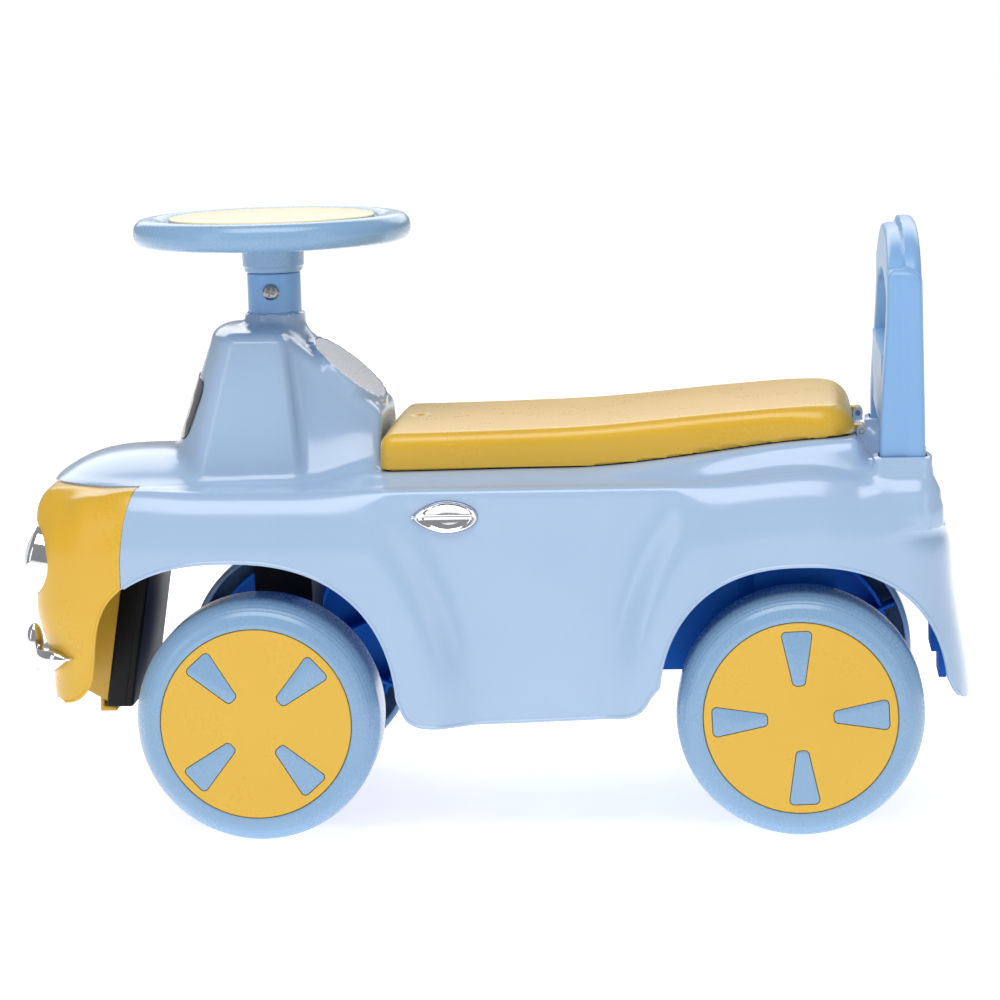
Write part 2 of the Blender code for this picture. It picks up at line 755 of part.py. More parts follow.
def lower_edge():
    """The body's lower edge seen from the side: arch, skirt, arch and tail tip."""
    front = arch_curve(FRONT_ARCH_X, FRONT_ARCH_HALF_LENGTH, ARCH_TOP_FRONT, 152, 8, 20, ARCH_SQUARENESS)
    skirt = [(-0.0545, 0.0838), (-0.0440, SKIRT_BOTTOM), (-0.0050, SKIRT_BOTTOM)]
    skirt += [(0.0730, SKIRT_BOTTOM + 0.0025), (0.0890, SKIRT_BOTTOM + 0.0040)]
    skirt += [(0.1000, SKIRT_BOTTOM + 0.0092), (0.1070, SKIRT_BOTTOM + 0.0190)]
    rear = arch_curve(REAR_ARCH_X, REAR_ARCH_HALF_LENGTH, ARCH_TOP_REAR, 168, 12, 20, ARCH_SQUARENESS)
    tail = [(BODY_REAR - 0.0130, SKIRT_BOTTOM + 0.0145), (BODY_REAR - 0.0085, SKIRT_BOTTOM + 0.0095)]
    tail += [(BODY_REAR - 0.0025, SKIRT_BOTTOM + 0.0068)]
    return front + skirt + rear + tail


def lower_cutter(name):
    """Everything under the body's lower edge, right across the car."""
    edge = lower_edge()
    front = edge[0][0] - 0.0220
    outline = [(front, edge[0][1] - 0.0120)] + edge
    outline += [(BEHIND, edge[-1][1] - 0.0002), (BEHIND, 0.0), (front, 0.0)]
    return add_object(name, prism(outline, "Y", -ACROSS, ACROSS))


def seam_outline(shift):
    """Side view of the nose region that belongs to the front fascia."""
    seam = [(SEAM_X + 0.0112, OVER_BODY), (SEAM_X + 0.0097, 0.2420), (SEAM_X + 0.0069, 0.2330)]
    seam += [(SEAM_X + 0.0036, 0.2210), (SEAM_X + 0.0015, 0.2065), (SEAM_X, 0.1920), (SEAM_X, 0.0)]
    front = [(AHEAD, 0.0), (AHEAD, OVER_BODY)]
    return [(x + shift, z) for x, z in seam] + front


def fascia_lower_edge():
    """Lower edge of the fascia seen from the side, an ogee down to the chin."""
    return [
        (SEAM_X, 0.1750),
        (SEAM_X - 0.0093, 0.1660),
        (SEAM_X - 0.0153, 0.1558),
        (SEAM_X - 0.0190, 0.1431),
        (SEAM_X - 0.0211, 0.1266),
        (SEAM_X - 0.0232, 0.1120),
        (SEAM_X - 0.0283, 0.1027),
        (SEAM_X - 0.0349, 0.0973),
        (SEAM_X - 0.0442, 0.0946),
        (SEAM_X - 0.0505, 0.0958),
        (SEAM_X - 0.0575, CHIN),
    ]


def carve(target, operation, *others):
    """A Boolean on the thin crossing shells of the body, which the exact solver loses."""
    return combine(target, operation, *others, solver="MANIFOLD")


def make_body(materials):
    """The one-piece body shell: outer solids joined, then hollowed from below."""
    body = hull_solid("body_shell", 0.0)
    carve(body, "DIFFERENCE", add_object("nose_cut", prism(seam_outline(SEAM), "Y", -ACROSS, ACROSS)))
    carve(body, "DIFFERENCE", lower_cutter("lower_cut"))
    neck_foot = TOWER_TOP - 0.0320
    neck = cylinder("neck", NECK_RADIUS, "Z", neck_foot, NECK_TOP, (STEERING_X, 0.0), 24)
    pod = tilted_disc(
        "pod", PANEL_HALF_WIDTH + POD_RIM, PANEL_HALF_LENGTH + POD_RIM, -POD_DEPTH, PANEL_THICKNESS, 32
    )
    carve(body, "UNION", hood_solid("hood", 0.0), tower_solid("tower", 0.0), cowl_solid("cowl", 0.0))
    carve(body, "UNION", neck, pod)
    for side in (-1, 1):
        carve(body, "UNION", socket_solid("socket", side, 0.0, SOCKET_TOP - 0.0360))
    carve(body, "DIFFERENCE", hull_solid("hull_inside", WALL), hood_solid("hood_inside", -WALL))
    carve(body, "DIFFERENCE", tower_solid("tower_inside", WALL), cowl_solid("cowl_inside", WALL))
    merge_flats(body)
    thin_out(body, 0.58)
    bore = COLUMN_RADIUS + RUNNING_GAP
    neck_bore = cylinder("neck_bore", bore, "Z", neck_foot, NECK_TOP + CUT_THROUGH, (STEERING_X, 0.0), 24)
    carve(body, "DIFFERENCE", neck_bore)
    pocket = tilted_disc(
        "pocket", PANEL_HALF_WIDTH + SEAM, PANEL_HALF_LENGTH + SEAM, SEAT_GAP - 0.0005, 0.020, 32
    )
    carve(body, "DIFFERENCE", pocket)
    middle = 0.5 * (SEAT_FRONT + SEAT_REAR)
    half = 0.5 * (SEAT_REAR - SEAT_FRONT) - SEAT_RIM_MARGIN
    hatch = squircle(half, SEAT_HALF_WIDTH - SEAT_RIM_MARGIN, 8.0, 28, (middle, 0.0))
    hatch_low = SHOULDER - 0.0360
    carve(body, "DIFFERENCE", add_object("hatch", prism(hatch, "Z", hatch_low, SEAT_HINGE_Z + 0.0400)))
    cx, cy = SOCKET_CENTRE
    for side in (-1, 1):
        half_x, half_y = POST_LENGTH / 2 + SEAT_GAP, POST_WIDTH / 2 + SEAT_GAP
        low = (cx - half_x, side * cy - half_y, POST_FOOT - 0.0220)
        high = (cx + half_x, side * cy + half_y, SOCKET_TOP + CUT_THROUGH)
        carve(body, "DIFFERENCE", block("post_hole", low, high))
    carve(body, "DIFFERENCE", seat_solid("seat_bed", -SEAM, LID_GAP - SEAT_GAP))
    body.data.materials.clear()
    body.data.materials.append(materials["light_blue"])
    return body


def add_bosses(body):
    """Screw bosses under the deck for the cross plate of the steering."""
    low = BRIDGE_UNDERSIDE + BRIDGE_THICKNESS + SEAT_GAP
    top = SHOULDER - WALL / 3
    for x, y in bridge_screw_places():
        boss = cylinder("boss", BOSS_RADIUS, "Z", low, top, (x, y), 12)
        depth = BOSS_PILOT_DEPTH
        pilot = cylinder("pilot", BOSS_PILOT_RADIUS, "Z", low - CUT_THROUGH, low + depth, (x, y), 8)
        combine(boss, "DIFFERENCE", pilot)
        carve(body, "UNION", boss)


def make_fascia(materials):
    """The yellow nose: one shell in front of the body's seam and under the hood's edge."""
    fascia = hull_solid("front_fascia", 0.0)
    carve(fascia, "DIFFERENCE", hull_solid("nose_inside", WALL))
    lower = fascia_lower_edge()
    seam = seam_outline(0.0)[:6]
    region = seam + lower + [(AHEAD, CHIN), (AHEAD, OVER_BODY)]
    carve(fascia, "INTERSECT", add_object("nose_region", prism(region, "Y", -ACROSS, ACROSS)))
    merge_flats(fascia)
    thin_out(fascia, 0.7)
    carve(fascia, "DIFFERENCE", hood_solid("hood_clear", SEAM))
    fascia.data.materials.clear()
    fascia.data.materials.append(materials["yellow"])
    smooth_shade(fascia)
    return fascia


def make_wheel(end, side, axle_x, spoke_angle, materials):
    """Tyre shell, ribbed core, cap and axle nut of one wheel, on an empty at its centre."""
    name = f"{end}_{'left' if side < 0 else 'right'}"
    middle = side * TRACK / 2
    face = WHEEL_WIDTH / 2
    web = face - CAP_THICKNESS - 2.0 * SEAT_GAP
    well = web - HUB_RECESS
    bore = AXLE_RADIUS + RUNNING_GAP
    inner = WHEEL_RADIUS - TYRE_WALL
    lip = CAP_RADIUS + SEAM
    profile = [
        (bore, well),
        (HUB_RADIUS, well),
        (HUB_RADIUS, web),
        (lip, web),
        (lip, face),
        (lip + SIDEWALL_DROP, face - 0.0010),
        (WHEEL_RADIUS - SIDEWALL_REACH, face - SIDEWALL_DROP),
        (WHEEL_RADIUS, face - TYRE_SHOULDER),
        (WHEEL_RADIUS, -face),
        (inner, -face),
        (inner, face - TYRE_SHOULDER),
        (lip - 0.0010, web - CAP_THICKNESS),
        (HUB_RADIUS, well - HUB_FLOOR),
        (HUB_RADIUS, -face),
        (bore, -face),
    ]
    tyre = add_object(f"tyre_{name}", turn(profile, TYRE_SIDES), materials["light_blue"])
    cap_low, cap_high = web + SEAT_GAP, face - SEAT_GAP
    cap = cylinder(
        f"hubcap_{name}", CAP_RADIUS, "Y", cap_low, cap_high, (0.0, 0.0), TYRE_SIDES, materials["yellow"]
    )
    for k in range(SPOKE_COUNT):
        angle = math.radians(spoke_angle + 360.0 * k / SPOKE_COUNT)
        pad = add_object("pad", prism(spoke_outline(angle, 0.0), "Y", web - 0.001, face))
        combine(tyre, "UNION", pad)
        window = add_object("window", prism(spoke_outline(angle, SEAM), "Y", web - 0.002, face + 0.002))
        combine(cap, "DIFFERENCE", window)
    core_in = HUB_RADIUS / math.cos(math.pi / CORE_SIDES) + SEAT_GAP
    core_out = inner * math.cos(math.pi / TYRE_SIDES) - SEAT_GAP
    back = face - TYRE_SHOULDER - SEAT_GAP
    hub_wall, rim_in = core_in + CORE_HUB_WALL, core_out - CORE_RIM_WIDTH
    core_profile = [
        (core_in, CORE_SETBACK - face),
        (hub_wall, CORE_SETBACK - face),
        (hub_wall, back - CORE_WALL),
    ]
    core_profile += [(rim_in, back - CORE_WALL), (rim_in, CORE_RIM_SETBACK - face)]
    core_profile += [
        (rim_in + CORE_WALL, CORE_RIM_SETBACK - face),
        (rim_in + CORE_WALL, back),
        (core_in, back),
    ]
    core = add_object(f"wheel_core_{name}", turn(core_profile, CORE_SIDES), materials["deep_blue"])
    for k in range(RIB_COUNT):
        angle = math.tau * (k + 0.5) / RIB_COUNT
        rib = block(
            "rib",
            (core_in + CORE_HUB_WALL / 2, RIB_SETBACK - face, -RIB_THICKNESS / 2),
            (core_out, back - CORE_WALL / 3, RIB_THICKNESS / 2),
        )
        rib.data.transform(Matrix.Rotation(angle, 4, "Y"))
        combine(core, "UNION", rib)
    nut_low = well + SEAT_GAP
    nut_shape = prism(hexagon(AXLE_NUT_RADIUS), "Y", nut_low, nut_low + AXLE_NUT_HEIGHT)
    nut = add_object(f"axle_nut_{name}", nut_shape, materials["steel"])
    thread, thread_foot = AXLE_RADIUS + SEAT_GAP, nut_low - CUT_THROUGH
    combine(
        nut,
        "DIFFERENCE",
        cylinder("thread", thread, "Y", thread_foot, nut_low + AXLE_NUT_DEPTH, (0, 0), 16),
    )
    pivot = pivot_at(f"wheel_pivot_{name}", (axle_x, middle, WHEEL_RADIUS))
    for piece in (tyre, core, cap, nut):
        if side < 0:
            piece.data.transform(Matrix.Scale(-1.0, 4, (0.0, 1.0, 0.0)))
            piece.data.flip_normals()
        smooth_shade(piece)
        piece.parent = pivot
    return pivot


def hexagon(radius, x=0.0, z=0.0):
    """Outline of a nut about one point."""
    return [
        (x + radius * math.cos(math.tau * i / 6), z + radius * math.sin(math.tau * i / 6)) for i in range(6)
    ]


def spoke_outline(angle, grow):
    """Tapered inlay of the hubcap, rounded at its corners, seen from the side."""
    near, far = SPOKE_INNER + SPOKE_CORNER, SPOKE_OUTER - SPOKE_CORNER
    slim, wide = SPOKE_INNER_WIDTH / 2 - SPOKE_CORNER, SPOKE_OUTER_WIDTH / 2 - SPOKE_CORNER
    corners = ((far, -wide, -90), (far, wide, 0), (near, slim, 90), (near, -slim, 180))
    reach = SPOKE_CORNER + grow
    points = []
    for along, across, start in corners:
        for sweep in (start, start + 90):
            x = along + reach * math.cos(math.radians(sweep))
            points.append((x, across + reach * math.sin(math.radians(sweep))))
    c, s = math.cos(angle), math.sin(angle)
    return [(x * c - y * s, x * s + y * c) for x, y in points]


def pivot_at(name, place):
    pivot = bpy.data.objects.new(name, None)
    pivot.location = place
    bpy.context.scene.collection.objects.link(pivot)
    return pivot


def carry(pivot, *pieces):
    """Hangs pieces on a pivot without moving them."""
    for piece in pieces:
        piece.parent = pivot
        piece.matrix_parent_inverse = Matrix.Translation(-pivot.location)


def make_axle(name, axle_x, materials):
    """Steel rod whose ends carry the wheels and their nuts."""
    end = TRACK / 2 + WHEEL_WIDTH / 2 - CAP_THICKNESS - AXLE_RADIUS
    return cylinder(name, AXLE_RADIUS, "Y", -end, end, (axle_x, WHEEL_RADIUS), 20, materials["steel"])


def make_steering(materials):
    """Fork, shaft, column, wheel and pad, which turn together."""
    hub_side = TRACK / 2 - WHEEL_WIDTH / 2 - RUNNING_GAP
    middle = STEERING_X + FORK_SETBACK
    fork = block(
        "front_fork",
        (middle - FORK_LENGTH / 2, -FORK_WIDTH / 2, WHEEL_RADIUS - FORK_FOOT_DROP),
        (middle + FORK_LENGTH / 2, FORK_WIDTH / 2, FORK_TOP),
        materials["black"],
    )
    axle_line = (FRONT_AXLE_X, WHEEL_RADIUS)
    combine(fork, "UNION", cylinder("sleeve", SLEEVE_RADIUS, "Y", -hub_side, hub_side, axle_line, 20))
    half_gusset = GUSSET_THICKNESS / 2
    for side in (-1, 1):
        root = side * FORK_WIDTH * 0.45
        web = [(root, GUSSET_TOP), (root, WHEEL_RADIUS), (side * GUSSET_REACH, WHEEL_RADIUS)]
        gusset = prism(web, "X", FRONT_AXLE_X - half_gusset, FRONT_AXLE_X + half_gusset)
        combine(fork, "UNION", add_object("gusset", gusset))
    bore = AXLE_RADIUS + SEAT_GAP
    combine(fork, "DIFFERENCE", cylinder("bore", bore, "Y", -ACROSS, ACROSS, axle_line, 20))
    shaft_line = (STEERING_X, 0.0)
    shaft_foot = FORK_TOP - SHAFT_SINK
    shaft_hole = SHAFT_RADIUS + SEAT_GAP
    fork_hole = cylinder("hole", shaft_hole, "Z", shaft_foot, FORK_TOP + CUT_THROUGH, shaft_line, 20)
    combine(fork, "DIFFERENCE", fork_hole)
    wheel_floor = RIM_CENTRE_Z - HUB_SOCKET_DEPTH
    shaft_low, shaft_high = shaft_foot + SEAT_GAP, wheel_floor - SEAT_GAP
    shaft = cylinder(
        "steering_shaft", SHAFT_RADIUS, "Z", shaft_low, shaft_high, shaft_line, 20, materials["steel"]
    )
    column_foot = NECK_TOP - COLUMN_ENTRY
    column = cylinder(
        "steering_column", COLUMN_RADIUS, "Z", column_foot, COLUMN_TOP, shaft_line, 24, materials["mid_blue"]
    )
    column_hole = cylinder(
        "hole", shaft_hole, "Z", column_foot - CUT_THROUGH, COLUMN_TOP + CUT_THROUGH, shaft_line, 20
    )
    combine(column, "DIFFERENCE", column_hole)
    screw_z = 0.5 * (NECK_TOP + COLUMN_TOP) + COLUMN_SCREW_RISE
    screw_line = (STEERING_X, screw_z)
    out = COLUMN_RADIUS
    beyond = out + CUT_THROUGH
    for piece in (shaft, column):
        combine(
            piece,
            "DIFFERENCE",
            cylinder("cross", COLUMN_CROSS_HOLE, "Y", -beyond, beyond, screw_line, 12),
        )
    wide, shank = COLUMN_SCREW_RADIUS, COLUMN_CROSS_HOLE - SEAT_GAP
    head = [(0.0, -out - 0.0030), (0.6 * wide, -out - 0.0028), (0.92 * wide, -out - 0.0018)]
    head += [(wide, -out - SEAT_GAP), (shank, -out - SEAT_GAP), (shank, out + 0.0028), (0.0, out + 0.0028)]
    screw = add_object("column_screw", turn(head, 16), materials["steel"])
    screw.location = (STEERING_X, 0.0, screw_z)
    nut = prism(hexagon(COLUMN_NUT_RADIUS, *screw_line), "Y", out + SEAT_GAP, out + 0.0035)
    nut = add_object("column_nut", nut, materials["steel"])
    combine(nut, "DIFFERENCE", cylinder("thread", COLUMN_CROSS_HOLE, "Y", 0.0, beyond, screw_line, 12))
    low, high = RIM_CENTRE_Z - RIM_HEIGHT / 2, RIM_CENTRE_Z + RIM_HEIGHT / 2
    inner = RIM_RADIUS - RIM_WIDTH
    disc_top = high - HUB_DISC_DROP
    groove = disc_top - HUB_GROOVE_DEPTH
    collar_foot = COLUMN_TOP + SEAT_GAP
    profile = [
        (0.0, wheel_floor),
        (shaft_hole, wheel_floor),
        (shaft_hole, collar_foot),
        (HUB_COLLAR_RADIUS - 0.0013, collar_foot),
        (HUB_COLLAR_RADIUS, collar_foot + 0.0043),
        (HUB_COLLAR_RADIUS + 0.0002, HUB_COLLAR_TOP),
        (inner - 0.0400, low + 0.0015),
        (inner, low + 0.0025),
        (inner + 0.0080, low),
        (RIM_RADIUS - 0.0082, low),
        (RIM_RADIUS - 0.0022, low + 0.0026),
        (RIM_RADIUS, RIM_CENTRE_Z),
        (RIM_RADIUS - 0.0018, high - 0.0038),
        (RIM_RADIUS - 0.0082, high),
        (HUB_DISC_RADIUS + 0.0085, high),
        (HUB_DISC_RADIUS + 0.0025, high - 0.0040),
        (HUB_DISC_RADIUS + 0.0017, groove),
        (HUB_DISC_RADIUS, groove),
        (HUB_DISC_RADIUS, disc_top),
        (0.0, disc_top),
    ]
    wheel = add_object("steering_wheel", turn(profile, RIM_SIDES), materials["light_blue"])
    pad_low = disc_top + SEAT_GAP
    pad_high = pad_low + PAD_THICKNESS
    pad_profile = [(0.0, pad_low), (PAD_RADIUS, pad_low), (PAD_RADIUS, pad_low + 0.4 * PAD_THICKNESS)]
    pad_profile += [(PAD_RADIUS - 0.0030, pad_low + 0.7 * PAD_THICKNESS), (0.0, pad_high)]
    pad = add_object("steering_pad", turn(pad_profile, RIM_SIDES), materials["yellow"])
    for piece in (wheel, pad):
        piece.data.transform(Matrix.Rotation(math.radians(90.0), 4, "X"))
        piece.location = (STEERING_X, 0.0, 0.0)
    pieces = (fork, shaft, column, screw, nut, wheel, pad)
    for piece in pieces:
        smooth_shade(piece)
    pivot = pivot_at("steering_pivot", (STEERING_X, 0.0, FORK_TOP))
    carry(pivot, *pieces)
    return pivot


def make_bridge(materials):
    """Cross plate under the hood that guides the foot of the steering shaft."""
    low, high = BRIDGE_UNDERSIDE, BRIDGE_UNDERSIDE + BRIDGE_THICKNESS
    under, over = low - CUT_THROUGH, high + CUT_THROUGH
    shaft_line = (STEERING_X, 0.0)
    plate = block(
        "steering_bridge",
        (STEERING_X - BRIDGE_HALF_LENGTH, -BRIDGE_HALF_WIDTH, low),
        (STEERING_X + BRIDGE_HALF_LENGTH, BRIDGE_HALF_WIDTH, high),
        materials["deep_blue"],
    )
    bush_radius = SHAFT_RADIUS + BUSH_WALL
    combine(plate, "DIFFERENCE", cylinder("hole", bush_radius + SEAT_GAP, "Z", under, over, shaft_line, 24))
    bush = cylinder(
        "steering_bush",
        bush_radius,
        "Z",
        low - BUSH_COLLAR,
        high + BUSH_COLLAR,
        shaft_line,
        24,
        materials["white"],
    )
    combine(
        bush,
        "DIFFERENCE",
        cylinder("hole", SHAFT_RADIUS + RUNNING_GAP, "Z", under, over, shaft_line, 24),
    )
    names = ("front_left", "front_right", "rear_left", "rear_right")
    for name, (x, y) in zip(names, bridge_screw_places()):
        combine(plate, "DIFFERENCE", cylinder("clear", BRIDGE_SCREW_CLEARANCE, "Z", under, over, (x, y), 8))
        top = low - SEAT_GAP
        foot = top - BRIDGE_SCREW_HEIGHT
        screw = cylinder(
            f"bridge_screw_{name}", BRIDGE_SCREW_HEAD, "Z", foot, top, (x, y), 10, materials["steel"]
        )
        root, tip = top - BRIDGE_SCREW_HEIGHT / 2, high + BRIDGE_SCREW_GRIP
        combine(screw, "UNION", cylinder("shank", BRIDGE_SCREW_SHANK, "Z", root, tip, (x, y), 8))
        smooth_shade(screw)
    smooth_shade(bush)


def bridge_screw_places():
    reach_x, reach_y = BRIDGE_HALF_LENGTH - 0.0100, BRIDGE_HALF_WIDTH - BRIDGE_SCREW_INSET
    return [(STEERING_X + sx * reach_x, sy * reach_y) for sx in (-1, 1) for sy in (-1, 1)]


def seat_top(x):
    """Height of the saddle along its middle line."""
    stations = (
        (SEAT_FRONT, SHOULDER + 0.0330),
        (SEAT_FRONT + 0.0445, SHOULDER + 0.0334),
        (SEAT_FRONT + 0.1145, SHOULDER + 0.0348),
        (SEAT_FRONT + 0.1545, SHOULDER + 0.0366),
        (SEAT_REAR - 0.0906, SHOULDER + 0.0428),
        (SEAT_REAR - 0.0406, SHOULDER + 0.0460),
        (SEAT_REAR, SHOULDER + 0.0440),
    )
    return blend_through(stations, x)


def seat_solid(name, inset, drop=0.0):
    """The seat lid as a closed solid, whose underside follows the deck."""
    middle, half = 0.5 * (SEAT_FRONT + SEAT_REAR), 0.5 * (SEAT_REAR - SEAT_FRONT)
    levels = ((0.0, 0.0), (0.60, 0.0020), (0.84, 0.0052), (1.0, 0.0150))
    reach_down = 2.0 * CUT_THROUGH if inset > 0.0 else drop
    rings = []
    for share, tuck in levels:
        reach_x, reach_y = half - tuck - inset, SEAT_HALF_WIDTH - tuck - inset
        outline = squircle(reach_x, reach_y, SEAT_SQUARENESS, SEAT_POINTS, (middle, 0.0))
        ring = []
        for x, y in outline:
            low = deck_height(x) + LID_GAP - (reach_down if not share else 0.0)
            high = seat_top(x) - SEAT_CROWN - inset
            ring.append((x, y, low + (high - low) * share))
        rings.append(ring)
    under = []
    for x, y, z in rings[0]:
        at_x = middle + (x - middle) * 0.9
        under.append((at_x, y * 0.06, deck_height(at_x) + LID_GAP - reach_down))
    for reach, crown in ((0.62, 0.7 * SEAT_CROWN), (0.08, SEAT_CROWN)):
        ring = []
        for x, y, z in rings[len(levels) - 1]:
            at_x = middle + (x - middle) * (0.94 if reach > 0.5 else 0.86)
            ring.append((at_x, y * reach, seat_top(at_x) - SEAT_CROWN - inset + crown))
        rings.append(ring)
    return add_object(name, loft([under] + rings, strips=True))


def make_seat(materials):
    """The lid over the storage tub, with a finger dip and two hinge lugs."""
    seat = seat_solid("seat_lid", 0.0)
    combine(seat, "DIFFERENCE", seat_solid("inside", SEAT_WALL))
    dip_x = SEAT_FRONT + SEAT_DIP_SETBACK
    dip = squircle(SEAT_DIP_HALF_LENGTH, SEAT_DIP_HALF_WIDTH, 2.4, 20, (dip_x, 0.0))
    floor = seat_top(dip_x) - SEAT_DIP_DEPTH
    combine(seat, "DIFFERENCE", add_object("dip", prism(dip, "Z", floor, floor + CUT_THROUGH)))
    for side in (-1, 1):
        y = side * LUG_PLACE_Y
        low = (SEAT_REAR - LUG_ARM_ROOT, y - LUG_WIDTH / 2, SEAT_HINGE_Z + LUG_ARM_RISE)
        high = (SEAT_HINGE_X, y + LUG_WIDTH / 2, SEAT_HINGE_Z + LUG_RADIUS)
        combine(seat, "UNION", block("arm", low, high))
        hinge = (SEAT_HINGE_X, SEAT_HINGE_Z)
        knuckle = cylinder("knuckle", LUG_RADIUS, "Y", y - LUG_WIDTH / 2, y + LUG_WIDTH / 2, hinge, 18)
        combine(seat, "UNION", knuckle)
        past = LUG_WIDTH / 2 + CUT_THROUGH
        hole = cylinder("hole", HINGE_PIN_RADIUS + RUNNING_GAP, "Y", y - past, y + past, hinge, 12)
        combine(seat, "DIFFERENCE", hole)
        reach = LUG_WIDTH / 2 + RUNNING_GAP + EAR_WIDTH
        pin_name = f"seat_hinge_pin_{'left' if side < 0 else 'right'}"
        cylinder(pin_name, HINGE_PIN_RADIUS, "Y", y - reach, y + reach, hinge, 12, materials["steel"])
    seat.data.materials.clear()
    seat.data.materials.append(materials["yellow"])
    smooth_shade(seat)
    carry(pivot_at("seat_pivot", (SEAT_HINGE_X, 0.0, SEAT_HINGE_Z)), seat)


def add_ears(body):
    """Hinge ears on the rear deck, two to a lug."""
    for side in (-1, 1):
        for step in (-1, 1):
            y = side * LUG_PLACE_Y + step * (LUG_WIDTH / 2 + RUNNING_GAP + EAR_WIDTH / 2)
            low, high = y - EAR_WIDTH / 2, y + EAR_WIDTH / 2
            ear = cylinder("ear", LUG_RADIUS - 0.0002, "Y", low, high, (SEAT_HINGE_X, SEAT_HINGE_Z), 12)
            foot = block(
                "foot",
                (SEAT_HINGE_X - 0.0030, low, deck_height(SEAT_HINGE_X) - WALL),
                (SEAT_HINGE_X + 0.0034, high, SEAT_HINGE_Z),
            )
            combine(ear, "UNION", foot)
            carve(body, "UNION", ear)
    bore = HINGE_PIN_RADIUS + SEAT_GAP
    for side in (-1, 1):
        y = side * LUG_PLACE_Y
        past = LUG_WIDTH / 2 + EAR_WIDTH + CUT_THROUGH
        hole = cylinder("hole", bore, "Y", y - past, y + past, (SEAT_HINGE_X, SEAT_HINGE_Z), 12)
        carve(body, "DIFFERENCE", hole)


def tub_box(name, inset, floor, lift):
    """The tub's box with rounded corners, whose top follows the deck."""
    half_x = 0.5 * (TUB_REAR - TUB_FRONT) - inset
    outline = squircle(half_x, TUB_HALF_WIDTH - inset, 10.0, 24, (0.5 * (TUB_REAR + TUB_FRONT), 0.0))
    low = [(x, y, floor) for x, y in outline]
    high = [(x, y, deck_height(x) - WALL - FLANGE_GAP + lift) for x, y in outline]
    middle = [
        (0.5 * (TUB_REAR + TUB_FRONT) + (x - 0.5 * (TUB_REAR + TUB_FRONT)) * 0.9, y * 0.06)
        for x, y in outline
    ]
    cap = [(x, y, deck_height(x) - WALL - FLANGE_GAP + lift) for x, y in middle]
    return add_object(name, loft([low, high, cap], strips=True))


def make_tub(materials):
    """Storage tub under the seat, with the saddles of the rear axle."""
    middle = 0.5 * (SEAT_FRONT + SEAT_REAR)
    half = 0.5 * (SEAT_REAR - SEAT_FRONT) - SEAT_RIM_MARGIN + FLANGE_LAP
    outline = squircle(half, TUB_HALF_WIDTH + TUB_SIDE_MARGIN, 8.0, 28, (middle, 0.0))
    rings = []
    for reach, drop in ((0.06, TUB_WALL), (1.0, TUB_WALL), (1.0, 0.0), (0.06, 0.0)):
        ring = []
        for x, y in outline:
            at_x = middle + (x - middle) * (1.0 if reach == 1.0 else 0.9)
            ring.append((at_x, y * reach, deck_height(at_x) - WALL - FLANGE_GAP - drop))
        rings.append(ring)
    tub = add_object("storage_tub", loft(rings, strips=True))
    box = tub_box("box", 0.0, TUB_FLOOR, -TUB_WALL / 2)
    hub_side = TRACK / 2 - WHEEL_WIDTH / 2 - RUNNING_GAP
    axle_line = (REAR_AXLE_X, WHEEL_RADIUS)
    combine(tub, "UNION", box)
    for side in (-1, 1):
        inner, outer = sorted(
            (side * (TUB_HALF_WIDTH - TUB_PLATE_IN), side * (TUB_HALF_WIDTH + TUB_PLATE_OUT))
        )
        low = (TUB_REAR - TUB_PLATE_FRONT, inner, TUB_PLATE_LOW)
        combine(tub, "UNION", block("plate", low, (TUB_REAR + TUB_PLATE_REAR, outer, TUB_PLATE_HIGH)))
        inner, outer = sorted((side * (TUB_HALF_WIDTH - 2.0 * TUB_PLATE_IN), side * hub_side))
        combine(tub, "UNION", cylinder("sleeve", SLEEVE_RADIUS, "Y", inner, outer, axle_line, 20))
    rear_wall = TUB_REAR + TUB_PLATE_REAR - TUB_CROSS_THICKNESS / 3
    low = (rear_wall - TUB_CROSS_THICKNESS, -TUB_HALF_WIDTH, TUB_CROSS_LOW)
    combine(tub, "UNION", block("cross", low, (rear_wall, TUB_HALF_WIDTH, TUB_CROSS_HIGH)))
    inside = tub_box("inside", TUB_WALL, TUB_FLOOR + TUB_WALL, 2.0 * CUT_THROUGH)
    combine(tub, "DIFFERENCE", inside)
    bore = AXLE_RADIUS + SEAT_GAP
    combine(tub, "DIFFERENCE", cylinder("bore", bore, "Y", -ACROSS, ACROSS, axle_line, 20))
    tub.data.materials.clear()
    tub.data.materials.append(materials["deep_blue"])
    smooth_shade(tub)


def make_tail_stop(materials):
    """Hanging foot inside the tail that keeps the car from tipping back."""
    wide, slim = TAIL_STOP_HALF_WIDTH, TAIL_FOOT_HALF_WIDTH
    low = (TAIL_STOP_FRONT, -wide, TAIL_STOP_LOW)
    stop = block("tail_stop", low, (BODY_REAR + CUT_THROUGH, wide, TAIL_STOP_HIGH), materials["deep_blue"])
    low = (TAIL_FOOT_FRONT, -slim, SKIRT_BOTTOM + TAIL_FOOT_RISE)
    combine(stop, "UNION", block("foot", low, (TAIL_FOOT_REAR, slim, TAIL_STOP_LOW + 2.0 * WALL)))
    combine(stop, "INTERSECT", hull_solid("fit", WALL + STOP_GAP))


def arch_outline(half_width, top, spring, power, foot, count):
    """Front view of an arch: straight legs up to the spring line, then a round top."""
    points = [(-half_width, foot)]
    for i in range(count + 1):
        angle = math.pi * (1.0 - i / count)
        c, s = math.cos(angle), math.sin(angle)
        reach = (abs(c) ** power + abs(s) ** power) ** (-1.0 / power)
        points.append((half_width * c * reach, spring + (top - spring) * s * reach))
    return points + [(half_width, foot)]


